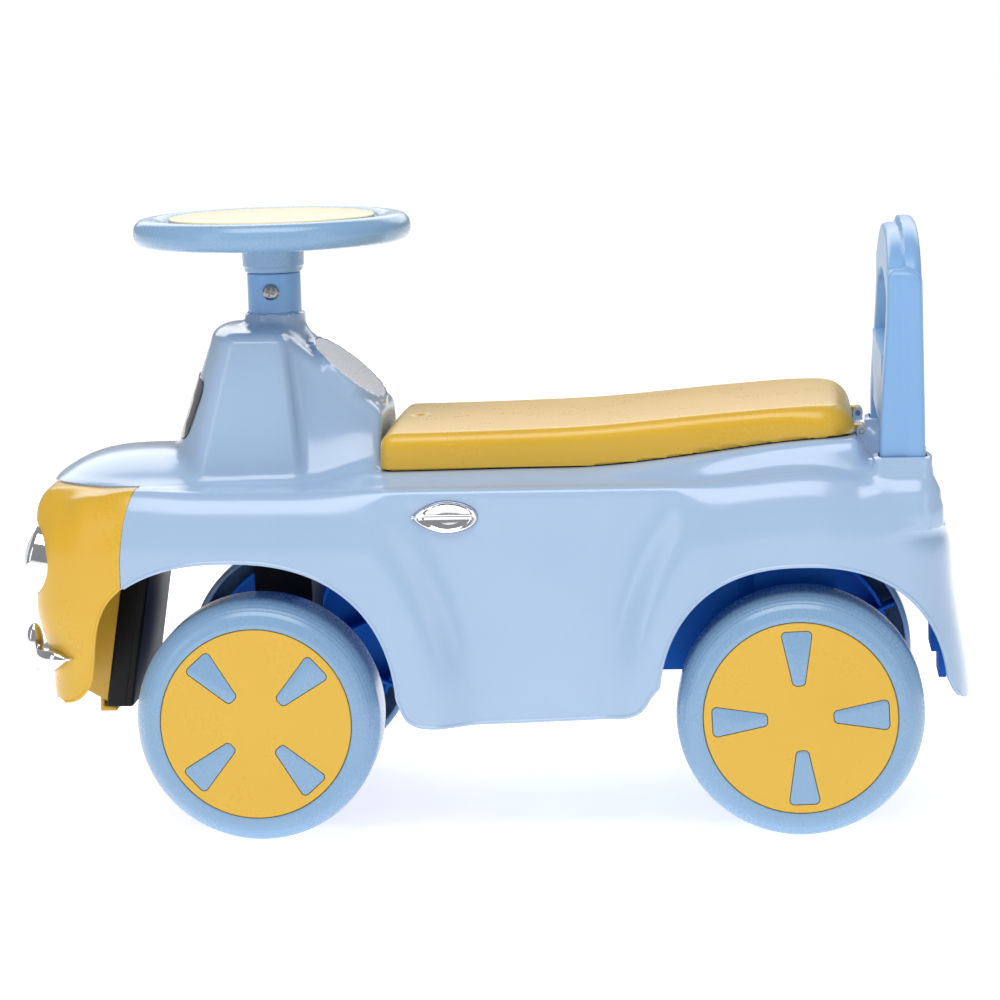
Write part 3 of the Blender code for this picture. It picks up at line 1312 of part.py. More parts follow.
def make_backrest(materials):
    """The hoop behind the seat: a front band, a wider rear band and a low panel."""
    cx, cy = SOCKET_CENTRE
    outer, inner = cy + POST_WIDTH / 2, cy - POST_WIDTH / 2
    front, rear = cx - POST_LENGTH / 2, cx + POST_LENGTH / 2
    band = front + FRONT_BAND_DEPTH
    step = FRONT_BAND_STEP
    hoop = arch_outline(ARCH_HALF_WIDTH, BACKREST_TOP, ARCH_SPRING, ARCH_BEND, POST_FOOT, 20)
    back = add_object("backrest", prism(hoop, "X", band, rear))
    low_top = BACKREST_TOP - 4.0 * step
    slim = arch_outline(ARCH_HALF_WIDTH - step, low_top, ARCH_SPRING, ARCH_BEND, POST_FOOT, 20)
    combine(back, "UNION", add_object("front_band", prism(slim, "X", front, band + step)))
    for side in (-1, 1):
        caps = (
            (POST_FOOT, 0.0),
            (POST_CAP_TOP - 0.0040, 0.0),
            (POST_CAP_TOP - 0.0010, 0.0020),
            (POST_CAP_TOP, 0.0050),
        )
        rings = []
        for z, tuck in caps:
            low, high = side * (inner - step + tuck), side * (outer - tuck)
            corners = ((front + tuck, low), (rear - tuck, low), (rear - tuck, high), (front + tuck, high))
            rings.append([(x, y, z) for x, y in corners])
        combine(back, "UNION", add_object("post", loft(rings)))
    hole_spring = HAND_HOLE_TOP - HAND_HOLE_ROUND
    hole = arch_outline(inner, HAND_HOLE_TOP, hole_spring, HAND_HOLE_BEND, POST_FOOT - CUT_THROUGH, 14)
    cutter = add_object("hole", prism(hole, "X", front - CUT_THROUGH, rear + CUT_THROUGH))
    combine(back, "DIFFERENCE", cutter)
    lean = shaving_wedges(front, POST_FRONT_TAPER, rear, POST_REAR_TAPER)
    for name, wedge in zip(("front_lean", "rear_lean"), lean):
        combine(back, "DIFFERENCE", add_object(name, prism(wedge, "Y", -ACROSS, ACROSS)))
    panel_back = rear - BACK_PANEL_SETBACK
    low = (panel_back - BACK_PANEL_DEPTH, -inner - step, BACK_PANEL_BOTTOM)
    combine(back, "UNION", block("panel", low, (panel_back, inner + step, HAND_HOLE_BOTTOM)))
    back.data.materials.clear()
    back.data.materials.append(materials["mid_blue"])
    smooth_shade(back)


def shaving_wedges(front, front_taper, rear, rear_taper):
    """Two wedges, seen from the side, that shave the hoop thinner above its sockets."""
    foot, top = SOCKET_TOP + WALL, BACKREST_TOP + CUT_THROUGH
    share = (top - foot) / (BACKREST_TOP - foot)
    before, after = front - CUT_THROUGH, rear + CUT_THROUGH
    ahead = [(front, foot), (front + front_taper * share, top), (before, top), (before, foot)]
    behind = [(rear, foot), (rear - rear_taper * share, top), (after, top), (after, foot)]
    return ahead, behind


def aim_light(thing, side):
    """Points a piece that was turned about Y forward and a little up, at one headlight."""
    tilt = math.radians(HEADLIGHT_TILT)
    outward = Vector((-math.cos(tilt), 0.0, math.sin(tilt)))
    turned = Vector((0.0, 1.0, 0.0)).rotation_difference(outward).to_matrix().to_4x4()
    place = Matrix.Translation((HEADLIGHT_X, side * HEADLIGHT_Y, HEADLIGHT_Z))
    thing.data.transform(place @ turned)
    return thing


def make_headlights(fascia, materials):
    """A chrome bezel and a domed lens on each side, set into the fascia."""
    ring = HEADLIGHT_RADIUS
    inner = ring - BEZEL_WIDTH
    bezel = [(inner, -BEZEL_DEPTH), (ring, -BEZEL_DEPTH), (ring, 0.0005), (ring - 0.0010, 0.0030)]
    bezel += [(ring - 0.0022, 0.0036), (inner, 0.0018)]
    edge = inner - SEAT_GAP
    lens = [(0.0, -LENS_DEPTH), (edge, -LENS_DEPTH), (edge, 0.0008), (edge * 0.88, 0.0038)]
    lens += [(edge * 0.62, 0.0066), (edge * 0.32, 0.0080), (0.0, 0.0085)]
    for side in (-1, 1):
        name = "left" if side < 0 else "right"
        deep = BEZEL_DEPTH + 2.5 * CUT_THROUGH
        socket = cylinder("socket", ring + SEAT_GAP, "Y", -deep, deep, (0.0, 0.0), 32)
        carve(fascia, "DIFFERENCE", aim_light(socket, side))
        rim = add_object(f"headlight_bezel_{name}", turn(bezel, 20), materials["chrome"])
        smooth_shade(aim_light(rim, side))
        glass = add_object(f"headlight_lens_{name}", turn(lens, 16), materials["white"])
        smooth_shade(aim_light(glass, side))


def make_bumper(materials):
    """Chrome bar that wraps the nose and ends in points, with two overriders."""
    outline = body_outline()
    path = [(p, n) for p, n in outline if p.x < BUMPER_END_X]
    path.sort(key=lambda item: math.atan2(item[0].y, -(item[0].x + 0.2)))
    rings = []
    last = len(path) - 1
    for i, (point, outward) in enumerate(path):
        t = abs(2.0 * i / last - 1.0)
        slim = max(0.10, 1.0 - ease((t - 0.84) / 0.16) ** 2)
        deep, tall = BUMPER_DEPTH * (0.20 + 0.80 * slim), BUMPER_HEIGHT * slim
        section = ((0.0, -0.38), (0.62, -0.5), (1.0, -0.22), (1.0, 0.22), (0.62, 0.5), (0.0, 0.38))
        ring = []
        for out, up in section:
            z = BUMPER_Z + BUMPER_END_RISE * t * t + up * tall
            base = side_point(point, outward, z, -SEAT_GAP)
            reach = out * deep + SEAT_GAP
            ring.append((base.x + outward.x * reach, base.y + outward.y * reach, z))
        rings.append(ring)
    bumper = add_object("bumper", loft(rings))
    for side in (-1, 1):
        cx, cy = BODY_FRONT - OVERRIDER_STAND, side * OVERRIDER_Y
        outline = squircle(OVERRIDER_HALF_DEPTH, OVERRIDER_HALF_WIDTH, 2.6, 12, (cx, cy))
        rings = []
        low = BUMPER_Z - OVERRIDER_DROP
        for share, size in ((0.0, 0.60), (0.16, 1.0), (0.70, 0.95), (1.0, 0.50)):
            z = low + OVERRIDER_HEIGHT * share
            rings.append([(cx + (x - cx) * size, cy + (y - cy) * size, z) for x, y in outline])
        combine(bumper, "UNION", add_object("overrider", loft(rings)))
    bumper.data.materials.clear()
    bumper.data.materials.append(materials["chrome"])
    smooth_shade(bumper)
    return bumper


def battery_box_face(z, back=0.0):
    """Where the leaning front of the battery box stands at one height."""
    top_x, top_z, bottom_x, bottom_z = BOX_TOP_X, BOX_TOP_Z, BOX_BOTTOM_X, BOX_BOTTOM_Z
    return bottom_x + (top_x - bottom_x) * (z - bottom_z) / (top_z - bottom_z) - back


def nose_wall(z):
    """Middle of the nose's wall at one height, on the car's middle plane."""
    return BODY_FRONT + nose_lean(z) + BODY_SIDE_DRAFT * (z - SKIRT_BOTTOM) + WALL / 2


def make_battery_box(fascia, materials):
    """Black box that hangs behind the nose, and the yellow cheeks and shelf that carry it."""
    deep = BOX_THICKNESS
    outline = [(BOX_TOP_X, BOX_TOP_Z), (BOX_BOTTOM_X, BOX_BOTTOM_Z)]
    outline += [(BOX_BOTTOM_X + deep, BOX_BOTTOM_Z), (BOX_TOP_X + deep, BOX_TOP_Z)]
    half = BOX_HALF_WIDTH
    box = add_object("battery_box", prism(outline, "Y", -half, half), materials["black"])
    bevel = box.modifiers.new("edges", "BEVEL")
    bevel.width = 0.0012
    bevel.segments = 1
    bevel.limit_method = "ANGLE"
    high, low, back = BOX_TOP_Z - 0.0070, BOX_BOTTOM_Z + 0.0040, SEAT_GAP
    cheek = [(battery_box_face(high, back), high), (battery_box_face(low, back), low)]
    foot, head = low + 0.0160, high - 0.0100
    cheek += [(nose_wall(foot + (head - foot) * i / 5), foot + (head - foot) * i / 5) for i in range(6)]
    for side in (-1, 1):
        inner, outer = sorted((side * (half - CHEEK_INSET - CHEEK_THICKNESS), side * (half - CHEEK_INSET)))
        carve(fascia, "UNION", add_object("cheek", prism(cheek, "Y", inner, outer)))
    top, bottom = low + 0.0015 + SHELF_THICKNESS, low + 0.0015
    wall_top, wall_bottom = low + 0.0155 + SHELF_THICKNESS, low + 0.0155
    shelf = [(battery_box_face(top, back), top), (battery_box_face(bottom, back), bottom)]
    shelf += [(nose_wall(wall_bottom), wall_bottom), (nose_wall(wall_top), wall_top)]
    reach = half - CHEEK_INSET - CHEEK_THICKNESS / 2
    carve(fascia, "UNION", add_object("shelf", prism(shelf, "Y", -reach, reach)))
    x, z = BOX_BOTTOM_X, BOX_BOTTOM_Z
    hook = [
        (x - 0.0055, z + 0.0085),
        (x - 0.0060, z - 0.0045),
        (x + 0.0060, z - 0.0045),
        (x + 0.0060, z - 0.0013),
    ]
    hook += [(x - 0.0030, z - 0.0003), (x - 0.0026, z + 0.0080)]
    clip = add_object("clip", prism(hook, "Y", -CLIP_HALF_WIDTH, CLIP_HALF_WIDTH))
    carve(fascia, "UNION", clip)
    smooth_shade(fascia)


def make_handles(body, materials):
    """Chrome door handles: a leaf with a bowl and a bar across it."""
    middle = 0.5 * (HANDLE_FRONT + HANDLE_REAR)
    length = HANDLE_REAR - HANDLE_FRONT
    outline = []
    for i in range(24):
        t = i / 24
        angle = math.tau * t
        along = 0.5 * length * math.cos(angle)
        taper = 1.0 if along > 0.0 else 1.0 - (abs(along) / (0.5 * length)) ** 1.6 * 0.35
        outline.append((middle + along, HANDLE_Z + 0.5 * HANDLE_HEIGHT * math.sin(angle) * taper))
    square = Vector((0.0, 1.0))
    places = [side_point(Vector((x, BODY_HALF_WIDTH)), square, z, 0.0).y for x, z in outline]
    door = max(0.5 * (min(places) + max(places)), max(places) - 0.6 * WALL) + SEAT_GAP
    for side in (-1, 1):
        low, high = sorted((side * door, side * (door + HANDLE_THICKNESS)))
        bed = [(middle + (x - middle) * 1.03, HANDLE_Z + (z - HANDLE_Z) * 1.05) for x, z in outline]
        bed_low, bed_high = sorted((side * (door - SEAT_GAP), side * (door + HANDLE_BED_DEPTH)))
        carve(body, "DIFFERENCE", add_object("bed", prism(bed, "Y", bed_low, bed_high)))
        name = f"door_handle_{'left' if side < 0 else 'right'}"
        leaf = add_object(name, prism(outline, "Y", low, high), materials["chrome"])
        bowl_x = middle + BOWL_SHIFT
        bowl = squircle(BOWL_HALF_LENGTH, BOWL_HALF_HEIGHT, 2.2, 20, (bowl_x, HANDLE_Z))
        floor = door + HANDLE_THICKNESS - BOWL_DEPTH
        face = sorted((side * floor, side * (floor + CUT_THROUGH)))
        combine(leaf, "DIFFERENCE", add_object("bowl", prism(bowl, "Y", face[0], face[1])))
        bar = block(
            "bar",
            (bowl_x - BAR_HALF_LENGTH, low + BAR_INSET, HANDLE_Z - BAR_HALF_HEIGHT),
            (bowl_x + BAR_HALF_LENGTH, high - BAR_INSET, HANDLE_Z + BAR_HALF_HEIGHT),
        )
        combine(leaf, "UNION", bar)
        smooth_shade(leaf)


def make_windscreen(materials):
    """Dark pane laid on the front of the tower."""
    pane = tower_solid("windscreen", -SEAT_GAP - WINDSCREEN_THICKNESS)
    combine(pane, "DIFFERENCE", tower_solid("tower_face", -SEAT_GAP))
    outline = squircle(
        WINDSCREEN_HALF_WIDTH,
        0.5 * (WINDSCREEN_HIGH - WINDSCREEN_LOW),
        5.0,
        28,
        (0.0, 0.5 * (WINDSCREEN_HIGH + WINDSCREEN_LOW)),
    )
    combine(pane, "INTERSECT", add_object("region", prism(outline, "X", AHEAD, TOWER_TOP_BACK - 0.0270)))
    pane.data.materials.clear()
    pane.data.materials.append(materials["black"])


def main():
    clear_scene()
    materials = {
        "light_blue": plastic("light_blue", LIGHT_BLUE),
        "mid_blue": plastic("mid_blue", MID_BLUE),
        "deep_blue": plastic("deep_blue", DEEP_BLUE),
        "yellow": plastic("yellow", YELLOW),
        "chrome": plastic("chrome", CHROME, 0.08, 1.0),
        "steel": plastic("steel", STEEL, 0.3, 1.0),
        "black": plastic("black", BLACK),
        "white": plastic("white", WHITE, 0.15),
        "grey": plastic("grey", GREY, 0.3, 0.6),
    }
    body = make_body(materials)
    add_ears(body)
    add_bosses(body)
    fascia = make_fascia(materials)
    make_headlights(fascia, materials)
    make_battery_box(fascia, materials)
    make_bumper(materials)
    make_windscreen(materials)
    make_handles(body, materials)
    smooth_shade(body)
    make_bridge(materials)
    steering = make_steering(materials)
    make_seat(materials)
    make_tub(materials)
    make_tail_stop(materials)
    make_backrest(materials)
    panel = tilted_disc(
        "dash_panel", PANEL_HALF_WIDTH, PANEL_HALF_LENGTH, 0.0001, 0.0018, 32, materials["grey"]
    )
    smooth_shade(panel)
    carry(steering, make_axle("front_axle", FRONT_AXLE_X, materials))
    make_axle("rear_axle", REAR_AXLE_X, materials)
    for side in (-1, 1):
        carry(steering, make_wheel("front", side, FRONT_AXLE_X, FRONT_SPOKE_ANGLE, materials))
        make_wheel("rear", side, REAR_AXLE_X, REAR_SPOKE_ANGLE, materials)


main()
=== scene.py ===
# %% [markdown]
# # A ride-on toy car, dressed for its portrait
#
# The engineering model of this car is already made: forty-nine plain solids with real joints. This
# lesson keeps their places and sizes and gives the car its skin. Soft moulded corners, fine trim,
# moulded plastic and chrome are built here in Blender, piece by piece, and each new piece rides on
# the body that its solid belongs to. The first cell only loads that frame.

# %% Load the frame
import json
import math

import bmesh
import bpy
import numpy as np
from mathutils import Matrix, Vector

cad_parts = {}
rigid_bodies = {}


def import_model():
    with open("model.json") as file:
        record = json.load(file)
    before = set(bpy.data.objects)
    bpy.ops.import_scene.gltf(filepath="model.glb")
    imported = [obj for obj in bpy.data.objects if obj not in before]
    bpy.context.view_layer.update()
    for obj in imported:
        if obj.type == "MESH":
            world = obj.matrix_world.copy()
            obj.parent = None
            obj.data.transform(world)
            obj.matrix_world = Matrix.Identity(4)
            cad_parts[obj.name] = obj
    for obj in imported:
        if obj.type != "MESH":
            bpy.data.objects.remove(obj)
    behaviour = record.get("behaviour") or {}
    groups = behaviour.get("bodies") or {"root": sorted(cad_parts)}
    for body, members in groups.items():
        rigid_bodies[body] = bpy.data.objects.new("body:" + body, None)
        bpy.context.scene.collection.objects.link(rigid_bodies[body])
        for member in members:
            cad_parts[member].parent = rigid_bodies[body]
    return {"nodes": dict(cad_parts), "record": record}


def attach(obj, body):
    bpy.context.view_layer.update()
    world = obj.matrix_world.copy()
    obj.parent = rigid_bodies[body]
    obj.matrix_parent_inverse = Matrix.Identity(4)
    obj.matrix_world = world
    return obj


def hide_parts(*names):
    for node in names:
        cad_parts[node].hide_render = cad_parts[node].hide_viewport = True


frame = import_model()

for leftover in ("Cube", "Light", "Camera"):
    if leftover in bpy.data.objects:
        bpy.data.objects.remove(bpy.data.objects[leftover])
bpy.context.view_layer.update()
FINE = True

# %% [markdown]
# ## Shader sums written as plain sums
#
# A material is a small graph, and graphs are tedious to read in code. `Wire` stands for one socket
# and turns `+`, `-` and `*` into Math nodes, so a finish reads as a formula. `Finish` owns one
# material: `add` makes any other node from its type, its settings and its inputs. The graph could
# also be wired by hand in the shader editor, but a formula is shorter and easy to change. What stays
# the same all over a piece is set on the shader itself, and only what varies is wired.


# %% Wire and Finish
class Wire:
    """One output of a material's graph, with arithmetic."""

    def __init__(self, finish, socket):
        self.finish, self.socket = finish, socket

    def sum(self, operation, first, second):
        return self.finish.add("ShaderNodeMath", {"operation": operation}, {0: first, 1: second})

    def __add__(self, other):
        return self.sum("ADD", self, other)

    def __sub__(self, other):
        return self.sum("SUBTRACT", self, other)

    def __mul__(self, other):
        return self.sum("MULTIPLY", self, other)

    def __radd__(self, other):
        return self.sum("ADD", other, self)

    def __rsub__(self, other):
        return self.sum("SUBTRACT", other, self)

    def __rmul__(self, other):
        return self.sum("MULTIPLY", other, self)


class Finish:
    """A material with its graph: constants on the shader, and what varies wired to it."""

    def __init__(self, name, slot, **constants):
        self.slot = slot
        self.material = bpy.data.materials.new(name)
        self.material.use_nodes = True
        self.tree = self.material.node_tree
        self.shader = self.tree.nodes["Principled BSDF"]
        for socket, value in constants.items():
            self.shader.inputs[socket.replace("_", " ")].default_value = value
        self.place = self.add("ShaderNodeTexCoord", {}, {}, "Object")

    def add(self, kind, settings, inputs, output=0):
        """One node: its settings first, then the values or wires of its sockets."""
        node = self.tree.nodes.new(kind)
        for key, value in settings.items():
            setattr(node, key, value)
        for key, value in inputs.items():
            if isinstance(value, Wire):
                self.tree.links.new(value.socket, node.inputs[key])
            else:
                node.inputs[key].default_value = value
        return Wire(self, node.outputs[output])

    def noise(self, scale, detail):
        """A soft cloud pattern, 0 to 1, with that many clouds to the metre."""
        return self.add("ShaderNodeTexNoise", {}, {"Vector": self.place, "Scale": scale, "Detail": detail})

    def clamp(self, wire, low, high):
        """The wire's value, moved from low..high to 0..1 and held there."""
        ends = {"Value": wire, "From Min": low, "From Max": high}
        return self.add("ShaderNodeMapRange", {"clamp": True}, ends)

    def tint(self, mask, colour, other):
        """The first colour where the mask is 0, the other where it is 1."""
        mixed = {0: mask, 6: colour, 7: other}
        return self.add("ShaderNodeMix", {"data_type": "RGBA"}, mixed, 2)

    def wire(self, socket, wire):
        """Lets a wire drive one socket of the shader."""
        self.tree.links.new(wire.socket, self.shader.inputs[socket])

    def bump(self, height, distance, strength):
        """Fine relief in the surface's light, from a height of 0 to 1 and its depth in metres."""
        sockets = {"Height": height, "Distance": distance, "Strength": strength}
        self.wire("Normal", self.add("ShaderNodeBump", {}, sockets))


def linear(red, green, blue):
    """A colour as a paint chart gives it, 0 to 255, in the linear numbers that shaders use."""
    channels = [c / 255.0 for c in (red, green, blue)]
    straight = [c / 12.92 if c <= 0.04045 else ((c + 0.055) / 1.055) ** 2.4 for c in channels]
    return (*straight, 1.0)


# %% [markdown]
# ## Moulded plastic
#
# The whole car is blow-moulded and injection-moulded plastic. Such plastic is never one flat colour:
# the pigment drifts a little over the panel, the skin has a very fine orange-peel, and the gloss
# changes where the tool was polished. A flat colour would look like a drawing, and a painted image
# would need an unwrapped mesh. So one recipe of noises serves every colour: wide clouds and fine
# specks for the pigment, a slow wave for the polish and a small grain for the skin. Each colour is
# its own finish with its own numbers.


# %% The plastics
def plastic(name, slot, colour, pale, rough, peel=0.25, drift=0.5, coat=0.0, sheen=0.5):
    """Moulded plastic between two near colours: `peel` is its grain, `drift` its cloudiness."""
    finish = Finish(name, slot, Specular_IOR_Level=sheen, Coat_Weight=coat, Coat_Roughness=0.12)
    cloud = finish.clamp(finish.noise(9.0, 3.0), 0.30, 0.70)
    speck = finish.clamp(finish.noise(420.0, 1.0), 0.35, 0.65)
    mask = cloud * drift + speck * 0.10
    finish.wire("Base Color", finish.tint(mask, linear(*colour), linear(*pale)))
    polish = finish.noise(26.0, 3.0)
    finish.wire("Roughness", rough + (polish - 0.5) * 0.10 + speck * 0.02)
    grain = finish.noise(260.0, 2.0) * 0.6 + finish.noise(1500.0, 1.0) * 0.4
    finish.bump(grain, 0.00012, peel)
    return finish


LIGHT_BLUE = plastic("light blue plastic", "light_blue", (156, 181, 212), (164, 189, 218), 0.20, coat=0.30)
TYRE_BLUE = plastic("tyre blue plastic", "light_blue", (122, 158, 193), (132, 168, 201), 0.26, coat=0.20)
MID_BLUE = plastic("middle blue plastic", "mid_blue", (122, 166, 213), (132, 175, 220), 0.30)
DEEP_BLUE = plastic("deep blue plastic", "deep_blue", (0, 100, 196), (4, 110, 208), 0.45, sheen=0.2)
YELLOW = plastic("yellow plastic", "yellow", (212, 168, 46), (218, 176, 60), 0.28)
CREAM = plastic("cream cap", "yellow", (228, 218, 176), (236, 230, 202), 0.36, 0.4, 0.3, coat=0.1)
BLACK = plastic("black plastic", "black", (10, 12, 16), (18, 20, 26), 0.42, sheen=0.2)
WHITE = plastic("white plastic", "white", (222, 226, 232), (236, 238, 242), 0.30)
print(len(bpy.data.materials), "materials so far")


# %% [markdown]
# ## Bright metal, glass and the dash plate
#
# The trim is vacuum-plated: a mirror with a hint of the plastic's own waviness under it. The screws
# are zinc-plated steel, duller and brushed by their making. The lens is milky moulded plastic, the
# windscreen is a smoked pane, and the dash plate has a grey film with small bright flakes. The two
# metals share a recipe, because only their colour and polish differ; the other three are written
# out, because no two of them vary in the same way.


# %% The bright finishes
def bright(name, slot, colour, shade, rough, wave):
    """Bare metal between two near greys: `wave` is how far its surface ripples."""
    finish = Finish(name, slot, Metallic=1.0)
    cloud = finish.clamp(finish.noise(60.0, 3.0), 0.35, 0.65)
    finish.wire("Base Color", finish.tint(cloud, linear(*colour), linear(*shade)))
    scuffs = finish.clamp(finish.noise(900.0, 2.0), 0.45, 0.75)
    finish.wire("Roughness", rough + scuffs * 0.08)
    finish.bump(finish.noise(120.0, 2.0), 0.0004, wave)
    return finish


CHROME = bright("chrome plating", "chrome", (232, 233, 236), (214, 216, 222), 0.05, 0.15)
STEEL = bright("zinc-plated steel", "steel", (176, 178, 182), (146, 148, 154), 0.26, 0.10)

LENS = Finish("milky lens", "lens", Coat_Weight=0.6, Coat_Roughness=0.04)
facets = LENS.clamp(LENS.noise(90.0, 2.0), 0.3, 0.7)
LENS.wire("Base Color", LENS.tint(facets, linear(214, 219, 226), linear(236, 239, 243)))
LENS.wire("Roughness", 0.10 + facets * 0.06)
LENS.bump(LENS.noise(200.0, 2.0), 0.0003, 0.2)

GLASS = Finish("smoked pane", "black", Coat_Weight=0.5, Coat_Roughness=0.03)
smoke = GLASS.clamp(GLASS.noise(30.0, 3.0), 0.3, 0.7)
GLASS.wire("Base Color", GLASS.tint(smoke, linear(44, 48, 58), linear(62, 66, 78)))
GLASS.wire("Roughness", 0.10 + smoke * 0.05)
GLASS.bump(GLASS.noise(300.0, 1.0), 0.0001, 0.1)

PANEL = Finish("speckled dash plate", "panel", Metallic=0.25)
flakes = PANEL.clamp(PANEL.noise(1900.0, 1.0), 0.52, 0.66)
weave = PANEL.add("ShaderNodeTexVoronoi", {}, {"Vector": PANEL.place, "Scale": 620.0})
sparkle = flakes * 0.7 + weave * 0.3
PANEL.wire("Base Color", PANEL.tint(sparkle, linear(168, 170, 176), linear(222, 224, 230)))
PANEL.wire("Roughness", 0.34 + flakes * 0.12)
PANEL.bump(weave, 0.0003, 0.35)
print(len(bpy.data.materials), "materials in all")

# %% [markdown]
# ## Small tools for meshes
#
# Most pieces are made from lists of points. `shape` turns points and faces into an object, `carve`
# joins or cuts closed solids, `soften_edges` gives them a moulded radius, and `absorb` lets a piece
# take over faces that only touch it. `dress` is the last step of every piece: it sharpens only the
# true edges, gives the finish and hands the piece to the frame. The same could be done with edit
# mode operators, but those need a selection and a window, and these work on the data alone.


# %% Points to objects
def shape(name, points, faces):
    """An object from points and the faces between them."""
    mesh = bpy.data.meshes.new(name)
    mesh.from_pydata([tuple(map(float, p)) for p in points], [], [tuple(map(int, f)) for f in faces])
    mesh.update()
    thing = bpy.data.objects.new(name, mesh)
    bpy.context.scene.collection.objects.link(thing)
    return thing


def bake(thing):
    """Replaces an object's mesh by what its modifiers make of it."""
    graph = bpy.context.evaluated_depsgraph_get()
    mesh = bpy.data.meshes.new_from_object(thing.evaluated_get(graph))
    thing.modifiers.clear()
    thing.data = mesh
    return thing


def carve(target, operation, *others, solver="MANIFOLD"):
    """UNION or DIFFERENCE with each of the others, which are used up."""
    for other in others:
        cut = target.modifiers.new("cut", "BOOLEAN")
        cut.object, cut.operation, cut.solver = other, operation, solver
        bake(target)
        bpy.data.objects.remove(other)
    return target


def soften_edges(thing, width, segments=2, angle=30.0):
    """A small moulded radius on every edge sharper than the angle."""
    bevel = thing.modifiers.new("soft edges", "BEVEL")
    bevel.width, bevel.segments = width, segments
    bevel.limit_method, bevel.angle_limit = "ANGLE", math.radians(angle)
    return bake(thing)


def absorb(target, *others):
    """Puts the others' faces into the target's mesh, as parts that only touch it."""
    bm = bmesh.new()
    bm.from_mesh(target.data)
    for other in others:
        bm.from_mesh(other.data)
        bpy.data.objects.remove(other)
    bm.to_mesh(target.data)
    bm.free()
    return target


def dress(thing, body, finish, *nodes, angle=35.0):
    """The last step of a piece: shading, finish, body and the CAD nodes that it stands for."""
    thing.data.materials.clear()
    thing.data.materials.append(finish.material)
    thing.data.shade_smooth()
    thing.data.set_sharp_from_angle(angle=math.radians(angle))
    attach(thing, body)
    if nodes:
        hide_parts(*nodes)
    print(f"{thing.name}: {len(thing.data.polygons)} faces")
    return thing


# %% [markdown]
# ## The rules of the body's shape
#
# The body is one blow moulding in which everything flows together: two pairs of fenders, sunken
# doors, a hood, a windscreen tower and the scuttle behind it. Lofts would meet in hard creases, so
# the shape is written as a rule instead. Each part has a function that is negative inside it and
# about its distance outside, and a soft minimum melts two of them together with a real fillet. The
# first cell has the lines that the rules follow: soft curves, the fenders' reach and the heights of
# shoulder and deck.


# %% Curves that the body follows
WHEEL_RADIUS, FRONT_AXLE, REAR_AXLE = 0.0825, -0.1566, 0.2056
SHOULDER, WALL = 0.2360, 0.0030
STEERING_X = -0.1535
BODY_MIDDLE, BODY_REACH, BODY_HALF, NOSE_POWER = 0.0020, 0.3195, 0.1450, 6.0
DRAFT, DRAFT_FOOT = 0.035, 0.079
NOSE_LEAN = ((0.080, 0.0145), (0.107, 0.0120), (0.158, 0.0), (0.300, 0.0))
POST_X, POST_Y = 0.2755, 0.100


def ease(t):
    """0 to 1 with a soft start and a soft end."""
    t = np.clip(t, 0.0, 1.0)
    return t * t * (3.0 - 2.0 * t)


def soft_curve(stations, x):
    """A soft line through (place, value) stations."""
    places, values = np.array(stations).T
    k = np.clip(np.searchsorted(places, x) - 1, 0, len(places) - 2)
    share = (x - places[k]) / (places[k + 1] - places[k])
    return values[k] + (values[k + 1] - values[k]) * ease(share)


def fender_share(x, z):
    """1 on a fender, 0 on the door, soft between."""
    height = (z - WHEEL_RADIUS) / 0.198
    front = np.hypot(np.maximum(0.0, x - FRONT_AXLE) / 0.150, height)
    rear = np.hypot(np.maximum(0.0, REAR_AXLE - x) / 0.132, height)
    return ease((1.0 - np.minimum(front, rear)) / 0.22)


def shoulder_height(x):
    """Height of the body's upper edge, which rises over the rear fender."""
    front = ((-0.310, 0.2170), (-0.290, 0.2255), (-0.270, 0.2335), (-0.240, 0.2375), (-0.190, 0.2360))
    rear = ((0.120, 0.236), (0.215, 0.243), (0.255, 0.238), (0.290, 0.226), (0.3215, 0.218))
    return soft_curve(front + rear, x)


def deck_height(x):
    """Height of the deck along the car's middle, where the seat lies."""
    stations = ((-0.3094, 0.236), (-0.120, 0.236), (-0.079, 0.243), (0.050, 0.244))
    return soft_curve(stations + ((0.243, 0.261), (0.262, 0.237), (0.300, 0.220)), x)


def plan_reach(x, y, half_x, half_y, power):
    """(distance outside a rounded rectangle, share of its normal that points along X)."""
    u, v = np.abs(x) / half_x, np.abs(y) / half_y
    reach = (u**power + v**power) ** (1.0 / power) + 1e-9
    slope_x, slope_y = (u / reach) ** (power - 1.0) / half_x, (v / reach) ** (power - 1.0) / half_y
    slope = np.hypot(slope_x, slope_y) + 1e-9
    return (reach - 1.0) / slope, (slope_x / slope) ** 2


# %% [markdown]
# ## How two rules meet
#
# Moulded plastic has no sharp inside corner, because the hot skin could not fill it. `melt` joins two
# rules with a fillet, as clay pressed into a corner would, and `rounded` lets two faces of one rule
# meet in a quarter ellipse. Bevels on a finished mesh could not do this where the corner's angle
# changes all along its way.


# %% Corners and fillets between rules
def melt(first, second, width):
    """The union of two rules, with a fillet about that wide."""
    share = np.clip(0.5 + 0.5 * (second - first) / width, 0.0, 1.0)
    return second + (first - second) * share - width * share * (1.0 - share)


def rounded(side, top, wide, tall):
    """Where two faces meet, a quarter ellipse."""
    a, b = np.maximum(0.0, 1.0 + side / wide), np.maximum(0.0, 1.0 + top / tall)
    reach = np.hypot(a, b)
    slope = np.hypot(a / wide, b / tall) / np.maximum(reach, 1e-6)
    deep = reach < 1e-3
    return np.where(deep, np.maximum(side, top), (reach - 1.0) / np.maximum(slope, 1.0))


# %% [markdown]
# ## The lower body
#
# Seen from above the hull is a rounded rectangle. Its sides lean in by the draft that lets the mould
# open, the doors sink in between the fenders, and nose and tail lean by lines of their own. Above, a
# round shoulder turns over into the deck, wide on the fenders and tight along the doors.


